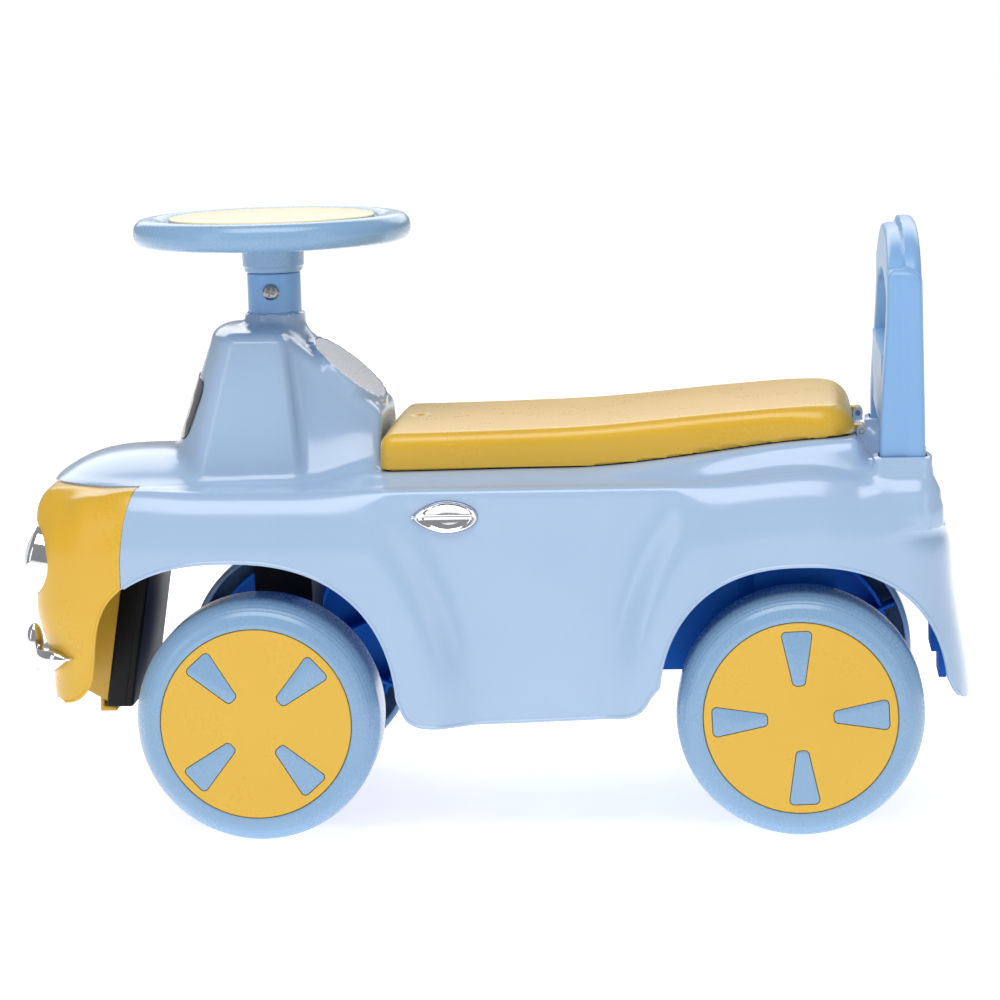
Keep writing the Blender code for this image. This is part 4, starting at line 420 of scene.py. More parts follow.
# %% The lower body
def hull_rule(x, y, z):
    """The lower body: sides with draft and sunken doors, rounded over into the deck."""
    along = x - BODY_MIDDLE
    power = np.where(along > 0.0, 6.5, NOSE_POWER)
    plan, ends = plan_reach(along, y, BODY_REACH, BODY_HALF, power)
    share = fender_share(x, z)
    nose = soft_curve(NOSE_LEAN, z)
    tail = soft_curve(((0.080, 0.0), (0.176, 0.0080), (0.300, 0.0100)), z)
    lean = np.where(along < 0.0, nose, tail)
    side = plan + DRAFT * (z - DRAFT_FOOT) + 0.013 * (1.0 - share) * (1.0 - ends) + lean * ends
    edge = 0.1395 - 0.013 * (1.0 - fender_share(x, 0.232)) - (0.005 + 0.021 * share)
    outer = np.maximum(0.0, x - 0.24) / 0.055
    reach = ((np.abs(y) / edge) ** 7.0 + outer**7.0) ** (1.0 / 7.0)
    shoulder = shoulder_height(x)
    top = shoulder + (deck_height(x) - shoulder) * ease((1.0 - reach) / 0.27)
    blunt = share * (1.0 - 0.55 * ends * (along < 0.0))
    return rounded(side, z - top, 0.005 + 0.021 * blunt, 0.005 + 0.035 * blunt)


# %% [markdown]
# ## Hood and windscreen tower
#
# The hood is a low dome on the nose, an egg seen from above. The tower stands behind it: a bowed
# front that leans back and two sides that draw in. Both could be boxes with bevels, but their faces
# are curved in two directions, and a rule bends them with one term each.


# %% The hood and the tower
HOOD_X, HOOD_REACH, HOOD_HALF, HOOD_POWER = -0.220, 0.0894, 0.094, 2.6


def hood_rule(x, y, z):
    """The dome in front of the tower."""
    u = np.maximum(0.0, HOOD_X - x) / HOOD_REACH
    v = np.abs(y) / (HOOD_HALF - 0.018 * ease((x + 0.224) / 0.045))
    reach = (u**HOOD_POWER + v**HOOD_POWER) ** (1.0 / HOOD_POWER)
    fall = np.minimum(u, 1.15) ** 4.2 + np.minimum(v, 1.15) ** 2.3
    top = 0.2345 + 0.0178 * (1.0 - fall)
    slope = np.hypot(1.0, 0.0178 * 4.2 * np.minimum(reach, 1.1) ** 2.0 / 0.092)
    dome = rounded((reach - 1.0) * 0.090, (z - top) / slope, 0.0030, 0.0030)
    return np.maximum(dome, x + 0.150)


def tower_rule(x, y, z):
    """The windscreen tower: the front leans back and the sides draw in."""
    share = (z - SHOULDER) / 0.096
    half = 0.082 - 0.026 * share
    bow = np.minimum(np.abs(y) / half, 1.2)
    front = -0.2262 + 0.345 * (z - 0.245) + (0.027 - 0.011 * share) * bow**2.2
    back = -0.1285 - 0.012 * share
    wall = rounded((front - x) * 0.90, np.abs(y) - half, 0.007, 0.007)
    wall = rounded(wall, x - back, 0.008, 0.008)
    return rounded(wall * 0.955, z - (0.3372 - 0.0035 * bow**2), 0.0075, 0.0065)


# %% [markdown]
# ## Scuttle, dash pod and collar
#
# Behind the tower the body slopes down to the deck. The slope carries an oval pod for the dash
# plate, and the tower's roof a collar for the steering column. `slanted` and `on_dash` translate
# between the car's own directions and those of the slope, so that pod, bed, plate and marks all lie
# in one plane.


# %% The scuttle, the pod, the collar and the post sockets
DASH_TILT, DASH_X, DASH_Z = math.radians(40.3), -0.103, 0.3035


def cowl_rule(x, y, z):
    """The scuttle behind the tower, flared out to the deck, with the slanted dash face."""
    top = np.minimum(0.329, 0.3005 - math.tan(DASH_TILT) * (x - DASH_X))
    base = deck_height(x) - 0.012
    share = np.clip((z - base) / (top - base), 0.0, 1.0)
    wide = 0.047 + 0.041 * (1.0 - share) ** 2.1
    steep = np.hypot(1.0, 0.0861 * (1.0 - share) ** 1.1 / (top - base))
    side = (np.abs(y) - wide) / steep
    lid = (z - top) * math.cos(DASH_TILT)
    body = np.maximum(rounded(side, lid, 0.010, 0.008), -0.160 - x)
    return rounded(body, x + 0.0765, 0.0035, 0.0035)


def slanted(x, z):
    """(distance along the dash face, height over it) from the middle of the dash plate."""
    c, s = math.cos(DASH_TILT), math.sin(DASH_TILT)
    right, up = x - DASH_X, z - DASH_Z
    return right * c - up * s, right * s + up * c


def on_dash(along, across, height):
    """The place in the car of a point given along, across and over the dash face."""
    c, s = math.cos(DASH_TILT), math.sin(DASH_TILT)
    return (DASH_X + along * c + height * s, across, DASH_Z - along * s + height * c)


def pod_rule(x, y, z):
    """The oval mount of the dash plate."""
    along, height = slanted(x, z)
    reach = np.hypot(along / 0.0342, y / 0.0462) + 1e-9
    plan = (reach - 1.0) * 0.038
    return np.maximum(rounded(plan, height - 0.0020, 0.0022, 0.0022), -0.022 - height)


def neck_rule(x, y, z):
    """The collar that the steering column turns in."""
    radius = 0.0210 + 0.0045 * np.clip((0.3390 - z) / 0.0100, 0.0, 1.0) ** 2
    return np.maximum(rounded(np.hypot(x - STEERING_X, y) - radius, z - 0.345, 0.0012, 0.0012), 0.300 - z)


def socket_rule(x, y, z):
    """The two boxes on the rear deck that hold the backrest's posts."""
    flare = soft_curve(((0.200, 0.012), (0.215, 0.012), (0.226, 0.009), (0.240, 0.0012), (0.2455, 0.0)), z)
    plan, _ = plan_reach(x - POST_X + 0.4 * flare, np.abs(y) - POST_Y, 0.0195, 0.0170, 5.0)
    return np.maximum(rounded(plan - flare, z - 0.2510, 0.0016, 0.0016), 0.205 - z)


def body_rule(x, y, z):
    """The whole moulding, everything melted together."""
    field = melt(hull_rule(x, y, z), hood_rule(x, y, z), 0.0060)
    tower = melt(tower_rule(x, y, z), cowl_rule(x, y, z), 0.0070)
    tower = melt(tower, neck_rule(x, y, z), 0.0050)
    tower = melt(tower, pod_rule(x, y, z), 0.0030)
    field = melt(field, tower, 0.0080)
    return melt(field, socket_rule(x, y, z), 0.0080)


# %% [markdown]
# ## From a rule to a skin
#
# A rule is turned into a mesh the way a sculptor turns a block into a figure: a fine grid is laid
# through it, each cell that the surface crosses gets one point, and neighbours are joined by
# four-sided faces. Blender's own Volume to Mesh does something alike, but here every point is then
# slid onto the exact surface along its slope, so the skin shows no steps even on a coarse grid.


# %% Grid to skin
def slope_of(rule, points):
    """The rule's value and its slope at points."""
    step = 0.0003
    x, y, z = points.T
    across = [rule(x + step, y, z) - rule(x - step, y, z)]
    across += [rule(x, y + step, z) - rule(x, y - step, z)]
    across += [rule(x, y, z + step) - rule(x, y, z - step)]
    return rule(x, y, z), np.stack(across, axis=1) / (2.0 * step)


def skin(name, rule, low, high, step):
    """The surface where the rule is zero, as a closed mesh of four-sided faces."""
    counts = [int(math.ceil((b - a) / step)) + 1 for a, b in zip(low, high)]
    axes = [a + step * np.arange(n) for a, n in zip(low, counts)]
    values = rule(*np.meshgrid(*axes, indexing="ij"))
    inside = values < 0.0
    corners = [(i, j, k) for i in (0, 1) for j in (0, 1) for k in (0, 1)]
    nx, ny, nz = (n - 1 for n in counts)
    held = sum(inside[i : i + nx, j : j + ny, k : k + nz].astype(np.int8) for i, j, k in corners)
    cells = np.argwhere((held > 0) & (held < 8))
    index = np.full((nx, ny, nz), -1, np.int64)
    index[tuple(cells.T)] = np.arange(len(cells))
    total, hits = np.zeros((len(cells), 3)), np.zeros(len(cells))
    for a in corners:
        for axis in range(3):
            if a[axis]:
                continue
            b = tuple(c + (n == axis) for n, c in enumerate(a))
            va = values[tuple((cells + a).T)]
            vb = values[tuple((cells + b).T)]
            cross = (va < 0.0) != (vb < 0.0)
            share = np.where(cross, va / np.where(cross, va - vb, 1.0), 0.0)
            point = np.array(a, float) + share[:, None] * (np.arange(3) == axis)
            total += point * cross[:, None]
            hits += cross
    points = np.array(low) + step * (cells + total / hits[:, None])
    for _ in range(5):
        value, slope = slope_of(rule, points)
        move = -(value / np.maximum((slope**2).sum(1), 0.05))[:, None] * slope
        length = np.linalg.norm(move, axis=1, keepdims=True)
        points += move * np.minimum(1.0, 0.4 * step / np.maximum(length, 1e-12))
    faces = []
    for axis in range(3):
        u, v = (axis + 1) % 3, (axis + 2) % 3
        here = inside.take(range(counts[axis] - 1), axis)
        there = inside.take(range(1, counts[axis]), axis)
        edges = np.argwhere(here != there)
        edges = edges[(edges[:, u] > 0) & (edges[:, v] > 0)]
        edges = edges[(edges[:, u] < counts[u] - 1) & (edges[:, v] < counts[v] - 1)]
        ring = []
        for du, dv in ((-1, -1), (0, -1), (0, 0), (-1, 0)):
            cell = edges.copy()
            cell[:, u] += du
            cell[:, v] += dv
            ring.append(index[tuple(cell.T)])
        ring = np.stack(ring, axis=1)
        leaving = here[tuple(edges.T)]
        faces.append(np.where(leaving[:, None], ring, ring[:, ::-1]))
    return shape(name, points, np.concatenate(faces))


# %% [markdown]
# ## The hollow shell
#
# A blow moulding has one wall of even thickness. The outside is the rule itself, and the hollow is
# the same rule with the wall added, so a Boolean takes one skin out of the other. A Solidify
# modifier would fold over itself in the tight corners of the tower; the rule cannot.


# %% The body's skin and its hollow
GRID = 0.0030 if FINE else 0.0050
LOW, HIGH = (-0.330, -0.1530, 0.048), (0.330, 0.1530, 0.354)


def body_outside(x, y, z):
    return np.maximum(body_rule(x, y, z), 0.0600 - z)


def body_inside(x, y, z):
    return np.maximum(body_rule(x, y, z) + WALL, 0.0530 - z)


shell = skin("car_body", body_outside, LOW, HIGH, GRID)
hollow = skin("hollow", body_inside, LOW, HIGH, 0.0060)
carve(shell, "DIFFERENCE", hollow)
print("body skin:", len(shell.data.polygons), "faces")

# %% [markdown]
# ## Cutting the openings
#
# A real moulding is trimmed after it leaves the tool: the arches, the hatch for the tub, the seam
# for the yellow nose, holes for the backrest and the column. The cutters are prisms, drawn as flat
# outlines and pulled straight through, because that is how the trimming press works too. The first
# cell pulls outlines into solids, the next one draws outlines, and the third cuts.


# %% Prisms, boxes, lofts and rods
ACROSS = 0.2


def prism(name, outline, axis, low, high):
    """An outline pulled along one axis: 'Y' reads (x, z), 'Z' reads (x, y), 'X' reads (y, z)."""
    spot = {
        "X": lambda p, d: (d, p[0], p[1]),
        "Y": lambda p, d: (p[0], d, p[1]),
        "Z": lambda p, d: (p[0], p[1], d),
    }[axis]
    count = len(outline)
    points = [spot(p, low) for p in outline] + [spot(p, high) for p in outline]
    faces = [(i, (i + 1) % count, count + (i + 1) % count, count + i) for i in range(count)]
    faces += [tuple(range(count))[::-1], tuple(range(count, 2 * count))]
    return outward(shape(name, points, faces))


def outward(thing, merge=0.0):
    """Turns all faces of a closed mesh outward, after merging points closer than that."""
    bm = bmesh.new()
    bm.from_mesh(thing.data)
    if merge:
        bmesh.ops.remove_doubles(bm, verts=bm.verts, dist=merge)
        bmesh.ops.dissolve_degenerate(bm, edges=bm.edges, dist=merge)
    bmesh.ops.recalc_face_normals(bm, faces=bm.faces)
    bm.to_mesh(thing.data)
    bm.free()
    return thing


def box(name, low, high):
    """A block between two opposite corners."""
    outline = [(low[0], low[1]), (high[0], low[1]), (high[0], high[1]), (low[0], high[1])]
    return prism(name, outline, "Z", low[2], high[2])


def loft(name, rings):
    """A closed solid through rings of equal counts."""
    count = len(rings[0])
    points = [p for ring in rings for p in ring]
    faces = []
    for k in range(len(rings) - 1):
        for i in range(count):
            j = (i + 1) % count
            faces.append((k * count + i, k * count + j, (k + 1) * count + j, (k + 1) * count + i))
    faces += [tuple(range(count))[::-1], tuple(range((len(rings) - 1) * count, len(rings) * count))]
    return outward(shape(name, points, faces))


def rod(name, radius, axis, low, high, centre, steps=32):
    """A round bar along one axis."""
    circle = [(math.cos(math.tau * i / steps), math.sin(math.tau * i / steps)) for i in range(steps)]
    outline = [(centre[0] + radius * c, centre[1] + radius * s) for c, s in circle]
    return prism(name, outline, axis, low, high)


# %% Rounded rectangles, soft lines and arches
def squircle(half_x, half_y, power, count, centre=(0.0, 0.0)):
    """A rounded rectangle as an outline, |x/a|^p + |y/b|^p = 1, with even steps."""
    angles = np.linspace(0.0, math.tau, 2881)[:-1]
    c, s = np.cos(angles), np.sin(angles)
    reach = (np.abs(c) ** power + np.abs(s) ** power) ** (-1.0 / power)
    dense = np.stack([centre[0] + half_x * c * reach, centre[1] + half_y * s * reach], axis=1)
    length = np.concatenate([[0.0], np.cumsum(np.linalg.norm(np.diff(dense, axis=0), axis=1))])
    picks = np.searchsorted(length, np.arange(count) * length[-1] / count)
    return [tuple(dense[i]) for i in picks]


def smooth_line(points, count):
    """An open line through points, as a soft curve with that many steps."""
    points = np.array(points, float)
    length = np.concatenate([[0.0], np.cumsum(np.linalg.norm(np.diff(points, axis=0), axis=1))])
    before = np.concatenate([[points[0] * 2 - points[1]], points[:-1]])
    after = np.concatenate([points[1:], [points[-1] * 2 - points[-2]]])
    gaps = np.diff(length)
    span_before, span_after = np.append(gaps[:1], gaps), np.append(gaps, gaps[-1:])
    tangent = (after - before) / (span_before + span_after)[:, None]
    result = []
    for want in np.linspace(0.0, length[-1], count):
        k = min(int(np.searchsorted(length, want, "right")) - 1, len(points) - 2)
        span = length[k + 1] - length[k]
        t = (want - length[k]) / span
        h = (2 * t**3 - 3 * t**2 + 1, t**3 - 2 * t**2 + t, 3 * t**2 - 2 * t**3, t**3 - t**2)
        ends = h[0] * points[k] + h[2] * points[k + 1]
        result.append(tuple(ends + span * (h[1] * tangent[k] + h[3] * tangent[k + 1])))
    return result


def arch(centre, half, top, start, end, count):
    """A wheel arch seen from the side."""
    points = []
    for angle in np.radians(np.linspace(start, end, count)):
        c, s = math.cos(angle), math.sin(angle)
        reach = (abs(c) ** 2.35 + abs(s) ** 2.35) ** (-1.0 / 2.35)
        points.append((centre + half * c * reach, WHEEL_RADIUS + (top - WHEEL_RADIUS) * s * reach))
    return points


# %% The trimmed lower edge and the seam
SKIRT = [(-0.0545, 0.0838), (-0.0440, 0.0790), (-0.0050, 0.0790), (0.0730, 0.0815)]
SKIRT += [(0.0890, 0.0830), (0.1000, 0.0882), (0.1070, 0.0980)]
front_arch = arch(-0.1735, 0.1130, 0.1910, 152, 8, 60)
rear_arch = arch(0.2080, 0.0970, 0.1832, 168, 12, 60)
lower_line = front_arch + smooth_line([front_arch[-1]] + SKIRT + [rear_arch[0]], 60)[1:-1] + rear_arch
lower_line += smooth_line([rear_arch[-1], (0.3085, 0.0935), (0.3130, 0.0885), (0.3190, 0.0858)], 8)[1:]
below = [(-0.2950, lower_line[0][1] - 0.012)] + lower_line
below += [(0.3400, 0.0856), (0.3400, 0.0), (-0.2950, 0.0)]

SEAM_X, SEAM_TOP, AHEAD = -0.2452, 0.262, -0.360
SEAM_LINE = [(-0.2340, SEAM_TOP), (-0.2355, 0.242), (-0.2383, 0.233), (-0.2416, 0.221), (-0.2437, 0.2065)]
SEAM_LINE += [(SEAM_X, 0.192)]
seam_line = smooth_line(SEAM_LINE, 24)


def hood_plan(grow):
    """The hood's outline seen from above, from the tower forward."""
    points = []
    for angle in np.linspace(0.5 * math.pi, 1.5 * math.pi, 73):
        c, s = math.cos(angle), math.sin(angle)
        reach = (abs(c) ** HOOD_POWER + abs(s) ** HOOD_POWER) ** (-1.0 / HOOD_POWER)
        points.append((HOOD_X + (HOOD_REACH + grow) * c * reach, (HOOD_HALF + grow) * s * reach))
    return points + [(-0.150, -HOOD_HALF - grow), (-0.150, HOOD_HALF + grow)]


def nose_region(name, shift, grow):
    """All that lies in front of the seam and outside the hood's lip."""
    outline = [(x + shift, z) for x, z in seam_line]
    outline += [(SEAM_X + shift, 0.0), (AHEAD, 0.0), (AHEAD, SEAM_TOP)]
    region = prism(name, outline, "Y", -ACROSS, ACROSS)
    return carve(region, "DIFFERENCE", prism("lip", hood_plan(grow), "Z", 0.2220 - grow, 0.300))


carve(shell, "DIFFERENCE", nose_region("front", 0.0004, 0.0))
carve(shell, "DIFFERENCE", prism("below", below, "Y", -ACROSS, ACROSS))
carve(shell, "DIFFERENCE", rod("neck_bore", 0.0189, "Z", 0.300, 0.360, (STEERING_X, 0.0), 64))
hatch = squircle(0.14905, 0.0775, 8.0, 96, (0.08555, 0.0))
carve(shell, "DIFFERENCE", prism("hatch", hatch, "Z", 0.20, 0.30))
for side in (-1, 1):
    hole = squircle(0.01605, 0.01355, 9.0, 48, (POST_X, side * POST_Y))
    carve(shell, "DIFFERENCE", prism("post_hole", hole, "Z", 0.190, 0.270))
print("trimmed body:", len(shell.data.polygons), "faces")

# %% [markdown]
# ## Bosses, ears and the seat's bed
#
# Inside the body four screw bosses hang from the deck, and behind the seat stand four small ears for
# the hinge pins. The deck also has a shallow bed where the seat's rim rests. These are plain rods and
# blocks joined to the skin, as the tool maker would add them to the mould.

# %% Join the bosses and ears
BRIDGE_PLACES = [(STEERING_X + sx * 0.0380, sy * 0.1000) for sx in (-1, 1) for sy in (-1, 1)]
for x, y in BRIDGE_PLACES:
    boss = rod("boss", 0.0055, "Z", 0.2103, 0.2350, (x, y), 32)
    carve(boss, "DIFFERENCE", rod("pilot", 0.0022, "Z", 0.2003, 0.2193, (x, y), 16))
    carve(shell, "UNION", boss)

HINGE_X, HINGE_Y, HINGE_Z = 0.2500, 0.0480, 0.2610
hinge_line = (HINGE_X, HINGE_Z)
for side in (-1, 1):
    for step in (-1, 1):
        y = side * HINGE_Y + step * 0.00765
        left, right = y - 0.00225, y + 0.00225
        ear = rod("ear", 0.0036, "Y", left, right, hinge_line, 40)
        foot = box("foot", (HINGE_X - 0.0030, left, 0.2560), (HINGE_X + 0.0034, right, HINGE_Z))
        carve(shell, "UNION", carve(ear, "UNION", foot))
    hole = rod("hole", 0.0019, "Y", side * HINGE_Y - 0.02, side * HINGE_Y + 0.02, hinge_line)
    carve(shell, "DIFFERENCE", hole)


# %% The seat's bed
def seat_block(name, grow, low):
    """The room of the seat above the deck, a little grown."""
    outline = []
    for centre, radius, side, start in (
        ((0.2216, 0.0645), 0.024, 1, 0.0),
        ((-0.0645, 0.0785), 0.010, 1, 0.5),
        ((-0.0645, 0.0785), 0.010, -1, 1.0),
        ((0.2216, 0.0645), 0.024, -1, 1.5),
    ):
        for angle in np.linspace(start, start + 0.5, 9) * math.pi:
            reach = radius + grow
            x, y = centre[0] + reach * math.cos(angle), side * centre[1] + reach * math.sin(angle)
            outline.append((x, y))
    block = prism(name, outline, "Z", 0.200, 0.300)
    line = [(x, float(deck_height(x)) + low) for x in np.linspace(-0.30, 0.34, 200)]
    under = prism("under", line + [(0.34, 0.10), (-0.30, 0.10)], "Y", -ACROSS, ACROSS)
    return carve(block, "DIFFERENCE", under)


carve(shell, "DIFFERENCE", seat_block("bed", 0.0006, 0.0002))


# %% [markdown]
# ## Beds for the trim
#
# The door handles and the dash plate don't lie on the body, they sit in shallow beds of their own
# outline. The beds are cut first, from the same lines that the trim is made from later. The door
# has no flat face to measure from, so `side_of` asks the body's rule where its surface stands.


# %% Beds of the handles and the dash plate
def side_of(rule, x, z):
    """How far out the surface stands at points (x, z)."""
    y = np.full(len(x), 0.140)
    for _ in range(12):
        gap = rule(x, y, z)
        slope = (rule(x, y + 0.0002, z) - gap) / 0.0002
        y = np.clip(y - gap / np.maximum(slope, 0.3), 0.05, 0.150)
    return y


def oval_disc(name, half_width, half_length, levels, steps=96):
    """An oval plate on the dash face, from (how much wider, height) levels."""
    rings = []
    for grow, height in levels:
        ring = []
        for i in range(steps):
            angle = math.tau * i / steps
            along, across = (half_length + grow) * math.cos(angle), (half_width + grow) * math.sin(angle)
            ring.append(on_dash(along, across, height))
        rings.append(ring)
    return loft(name, rings)


HANDLE_MIDDLE, HANDLE_HALF, HANDLE_Z = -0.02695, 0.02145, 0.2180
leaf_line = []
for t in np.linspace(0.0, math.tau, 97)[:-1]:
    slim = 1.0 - 0.35 * max(0.0, -math.cos(t)) ** 1.6
    leaf_line.append((HANDLE_HALF * math.cos(t), 0.01075 * math.sin(t) * slim))
DOOR = float(side_of(hull_rule, np.array([HANDLE_MIDDLE]), np.array([HANDLE_Z]))[0])
carve(shell, "DIFFERENCE", oval_disc("plate_bed", 0.0433, 0.0313, ((0.0, 0.0), (0.0, 0.0060))))
for side in (-1, 1):
    rings = []
    for height in (-0.0008, 0.0100):
        ring = [(u * 1.02, DOOR - DRAFT * w + height, w * 1.03) for u, w in leaf_line]
        rings.append([(HANDLE_MIDDLE + u, side * v, HANDLE_Z + w) for u, v, w in ring])
    carve(shell, "DIFFERENCE", loft("leaf_bed", rings))
print("the door's face is at", round(1000 * DOOR, 1), "mm")

# %% [markdown]
# ## The rolled lip
#
# Along the arches and the skirt the trimmed edge is rolled to a thin round bead, which catches the
# light as a pale line. It is a small tube that follows the trimmed line on the body's surface: each
# point of the line is pushed sideways until the body's rule says zero. A bevel on the cut edge would
# also round it, but the edge is thin and ragged there, and the tube covers it.


# %% A tube along the trimmed edge
def tube(name, path, radius, sides=10):
    """A round bead along a path of points, with closed ends."""
    path = np.array(path, float)
    ahead = np.gradient(path, axis=0)
    ahead /= np.linalg.norm(ahead, axis=1, keepdims=True)
    rings = []
    for spot, along in zip(path, ahead):
        first = np.cross(along, (0.0, 1.0, 0.0))
        first /= np.linalg.norm(first)
        second = np.cross(along, first)
        turns = [math.tau * i / sides for i in range(sides)]
        rings.append([spot + radius * (math.cos(t) * first + math.sin(t) * second) for t in turns])
    return loft(name, rings)


lip_line = np.array(smooth_line(lower_line, 420 if FINE else 160))
lip_x, lip_z = lip_line.T
lip_z = lip_z + 0.0006
lip_y = side_of(hull_rule, lip_x, lip_z) - 0.0008
keep = (lip_x < 0.3120) & (lip_x > -0.2442)
for side in (-1, 1):
    path = np.stack([lip_x, side * lip_y, lip_z], axis=1)[keep]
    absorb(shell, tube("lip", path, 0.0014))
dress(shell, "car", LIGHT_BLUE, "body_shell")

# %% [markdown]
# ## The yellow nose
#
# In front of the seam the same body shape goes on in yellow. The nose is made from the hull's rule
# alone, hollowed, trimmed along its ogee lower edge and cut back under the hood's lip. Two cheeks
# and a shelf inside it carry the battery box, and a small clip closes it below.


# %% The nose shell
def nose_outside(x, y, z):
    return np.maximum(np.maximum(hull_rule(x, y, z), x + 0.2280), 0.0830 - z)


def nose_inside(x, y, z):
    return np.maximum(np.maximum(hull_rule(x, y, z) + WALL, x + 0.2200), 0.0780 - z)


LOWER_NOSE = [(SEAM_X, 0.1750), (-0.2545, 0.1660), (-0.2605, 0.1558), (-0.2642, 0.1431)]
LOWER_NOSE += [(-0.2663, 0.1266), (-0.2684, 0.1120), (-0.2735, 0.1027), (-0.2801, 0.0973)]
LOWER_NOSE += [(-0.2894, 0.0946), (-0.2957, 0.0958), (-0.3027, 0.0887)]
low_corner, high_corner = (-0.330, -0.1530, 0.075), (-0.2160, 0.1530, 0.246)
nose = skin("nose_shell", nose_outside, low_corner, high_corner, 0.0024 if FINE else 0.0040)
carve(nose, "DIFFERENCE", skin("nose_hollow", nose_inside, low_corner, high_corner, 0.0050))
nose_line = smooth_line(LOWER_NOSE, 70)
region = seam_line + nose_line + [(AHEAD, 0.0887), (AHEAD, SEAM_TOP)]
carve(nose, "INTERSECT", prism("region", region, "Y", -ACROSS, ACROSS))
carve(nose, "DIFFERENCE", prism("lip", hood_plan(0.0004), "Z", 0.2216, 0.300))
print("nose:", len(nose.data.polygons), "faces")

# %% [markdown]
# ## Round pieces
#
# Bezels, lenses, tyres, caps and the steering wheel are all turned: a closed outline of radius and
# height swung about an axis. `round_off` first rounds the outline's corners, because a moulded rim
# with a small radius shows a bright line and a sharp one shows nothing.


# %% Outlines swung about an axis
def round_off(outline, radius, steps=4):
    """The same closed outline with each corner turned into a small arc."""
    result, count = [], len(outline)
    for i in range(count):
        before, here, after = (np.array(outline[(i + k) % count], float) for k in (-1, 0, 1))
        back, on = before - here, after - here
        length_back, length_on = np.linalg.norm(back), np.linalg.norm(on)
        straight = np.dot(back, on) < -0.985 * length_back * length_on
        if straight or abs(here[0]) < 1e-7:
            result.append(tuple(here))
            continue
        cut = min(radius, 0.45 * length_back, 0.45 * length_on)
        start, end = here + back / length_back * cut, here + on / length_on * cut
        for t in np.linspace(0.0, 1.0, steps):
            result.append(tuple((1 - t) ** 2 * start + 2 * t * (1 - t) * here + t**2 * end))
    return result


def spin(name, profile, steps):
    """A closed outline of (radius, y), swung about the Y axis through the origin."""
    steps = steps if FINE else steps // 2
    count = len(profile)
    points = []
    for i in range(steps):
        c, s = math.cos(math.tau * i / steps), math.sin(math.tau * i / steps)
        points += [(r * c, y, r * s) for r, y in profile]
    faces = []
    for i in range(steps):
        here, there = i * count, ((i + 1) % steps) * count
        for k in range(count):
            m = (k + 1) % count
            faces.append((here + k, here + m, there + m, there + k))
    return outward(shape(name, points, faces), 1e-6)


def place(thing, matrix):
    """Moves a mesh, not its object, and keeps its faces outward under a mirror."""
    thing.data.transform(matrix)
    if matrix.determinant() < 0.0:
        thing.data.flip_normals()
    return thing


# %% [markdown]
# ## The headlights
#
# Each lamp is a plated ring round a milky lens, tipped a little up. Both are turned outlines, made on
# the Y axis and then aimed by one matrix, which is easier to read than outlines drawn on the slant.
# The nose gets a socket of the ring's own size, as the real ring is pressed into one.


# %% Ring, lens and socket
def aim_light(thing, side):
    """Turns a piece from the Y axis to a lamp's own direction and puts it on the nose."""
    tilt = math.radians(13.0)
    ahead = Vector((-math.cos(tilt), 0.0, math.sin(tilt)))
    turned = Vector((0.0, 1.0, 0.0)).rotation_difference(ahead).to_matrix().to_4x4()
    return place(thing, Matrix.Translation((-0.3095, side * 0.0895, 0.189)) @ turned)


RING, INNER = 0.0245, 0.0210
LENS_RADIUS, LENS_RIM, LENS_DOME = INNER - 0.0003, 0.0010, 0.0078
bezel_line = [(INNER, -0.0150), (RING, -0.0150), (RING, 0.0006), (RING - 0.0006, 0.0022)]
bezel_line += [(RING - 0.0016, 0.0034), (RING - 0.0026, 0.0036), (INNER + 0.0002, 0.0026), (INNER, 0.0016)]
lens_line = [(0.0, -0.0080), (LENS_RADIUS, -0.0080), (LENS_RADIUS, LENS_RIM)]
for angle in 0.5 * math.pi * np.linspace(0.12, 1.0, 14):
    lens_line.append((LENS_RADIUS * math.cos(angle), LENS_RIM + LENS_DOME * math.sin(angle)))
lens_line[-1] = (0.0, lens_line[-1][1])
for side, name in ((-1, "left"), (1, "right")):
    socket = rod("socket", RING + 0.0003, "Y", -0.040, 0.040, (0.0, 0.0), 96)
    carve(nose, "DIFFERENCE", aim_light(socket, side))
    rim = aim_light(spin(f"light_bezel_{name}", round_off(bezel_line, 0.0004), 96), side)
    glass = aim_light(spin(f"light_lens_{name}", lens_line, 96), side)
    dress(rim, "car", CHROME, f"headlight_bezel_{name}")
    dress(glass, "car", LENS, f"headlight_lens_{name}")


# %% [markdown]
# ## Battery box and its carriers
#
# Behind the nose a black box leans between two yellow cheeks. It is a plain box with soft corners,
# cut from one outline seen from the side; the fine line of its lid is what makes it look real. The
# cheeks, the shelf and the clip grow out of the nose's own wall, so they are joined to it by Booleans.


# %% The battery box
BOX_FRONT, BOX_BOTTOM, BOX_TOP, BOX_LEAN, BOX_DEEP = -0.2748, 0.0757, 0.1670, 0.0148, 0.0190


def box_front(z, back=0.0):
    """Where the box's leaning front stands at a height, or a line that far ahead of it."""
    return BOX_FRONT + BOX_LEAN * (z - BOX_BOTTOM) / (BOX_TOP - BOX_BOTTOM) - back


outline = [(BOX_FRONT + BOX_LEAN, BOX_TOP), (BOX_FRONT, BOX_BOTTOM)]
outline += [(BOX_FRONT + BOX_DEEP, BOX_BOTTOM), (BOX_FRONT + BOX_DEEP + BOX_LEAN, BOX_TOP)]
battery = prism("battery_case", outline, "Y", -0.0520, 0.0520)
soften_edges(battery, 0.0022, 3)
groove = [(box_front(z) + 0.0128, z) for z in (0.168, 0.075)]
groove += [(box_front(z) + 0.0138, z) for z in (0.075, 0.168)]
for side in (-1, 1):
    slit = prism("slit", groove, "Y", *sorted((side * 0.0514, side * 0.0530)))
    carve(battery, "DIFFERENCE", slit)
dress(battery, "car", BLACK, "battery_box")


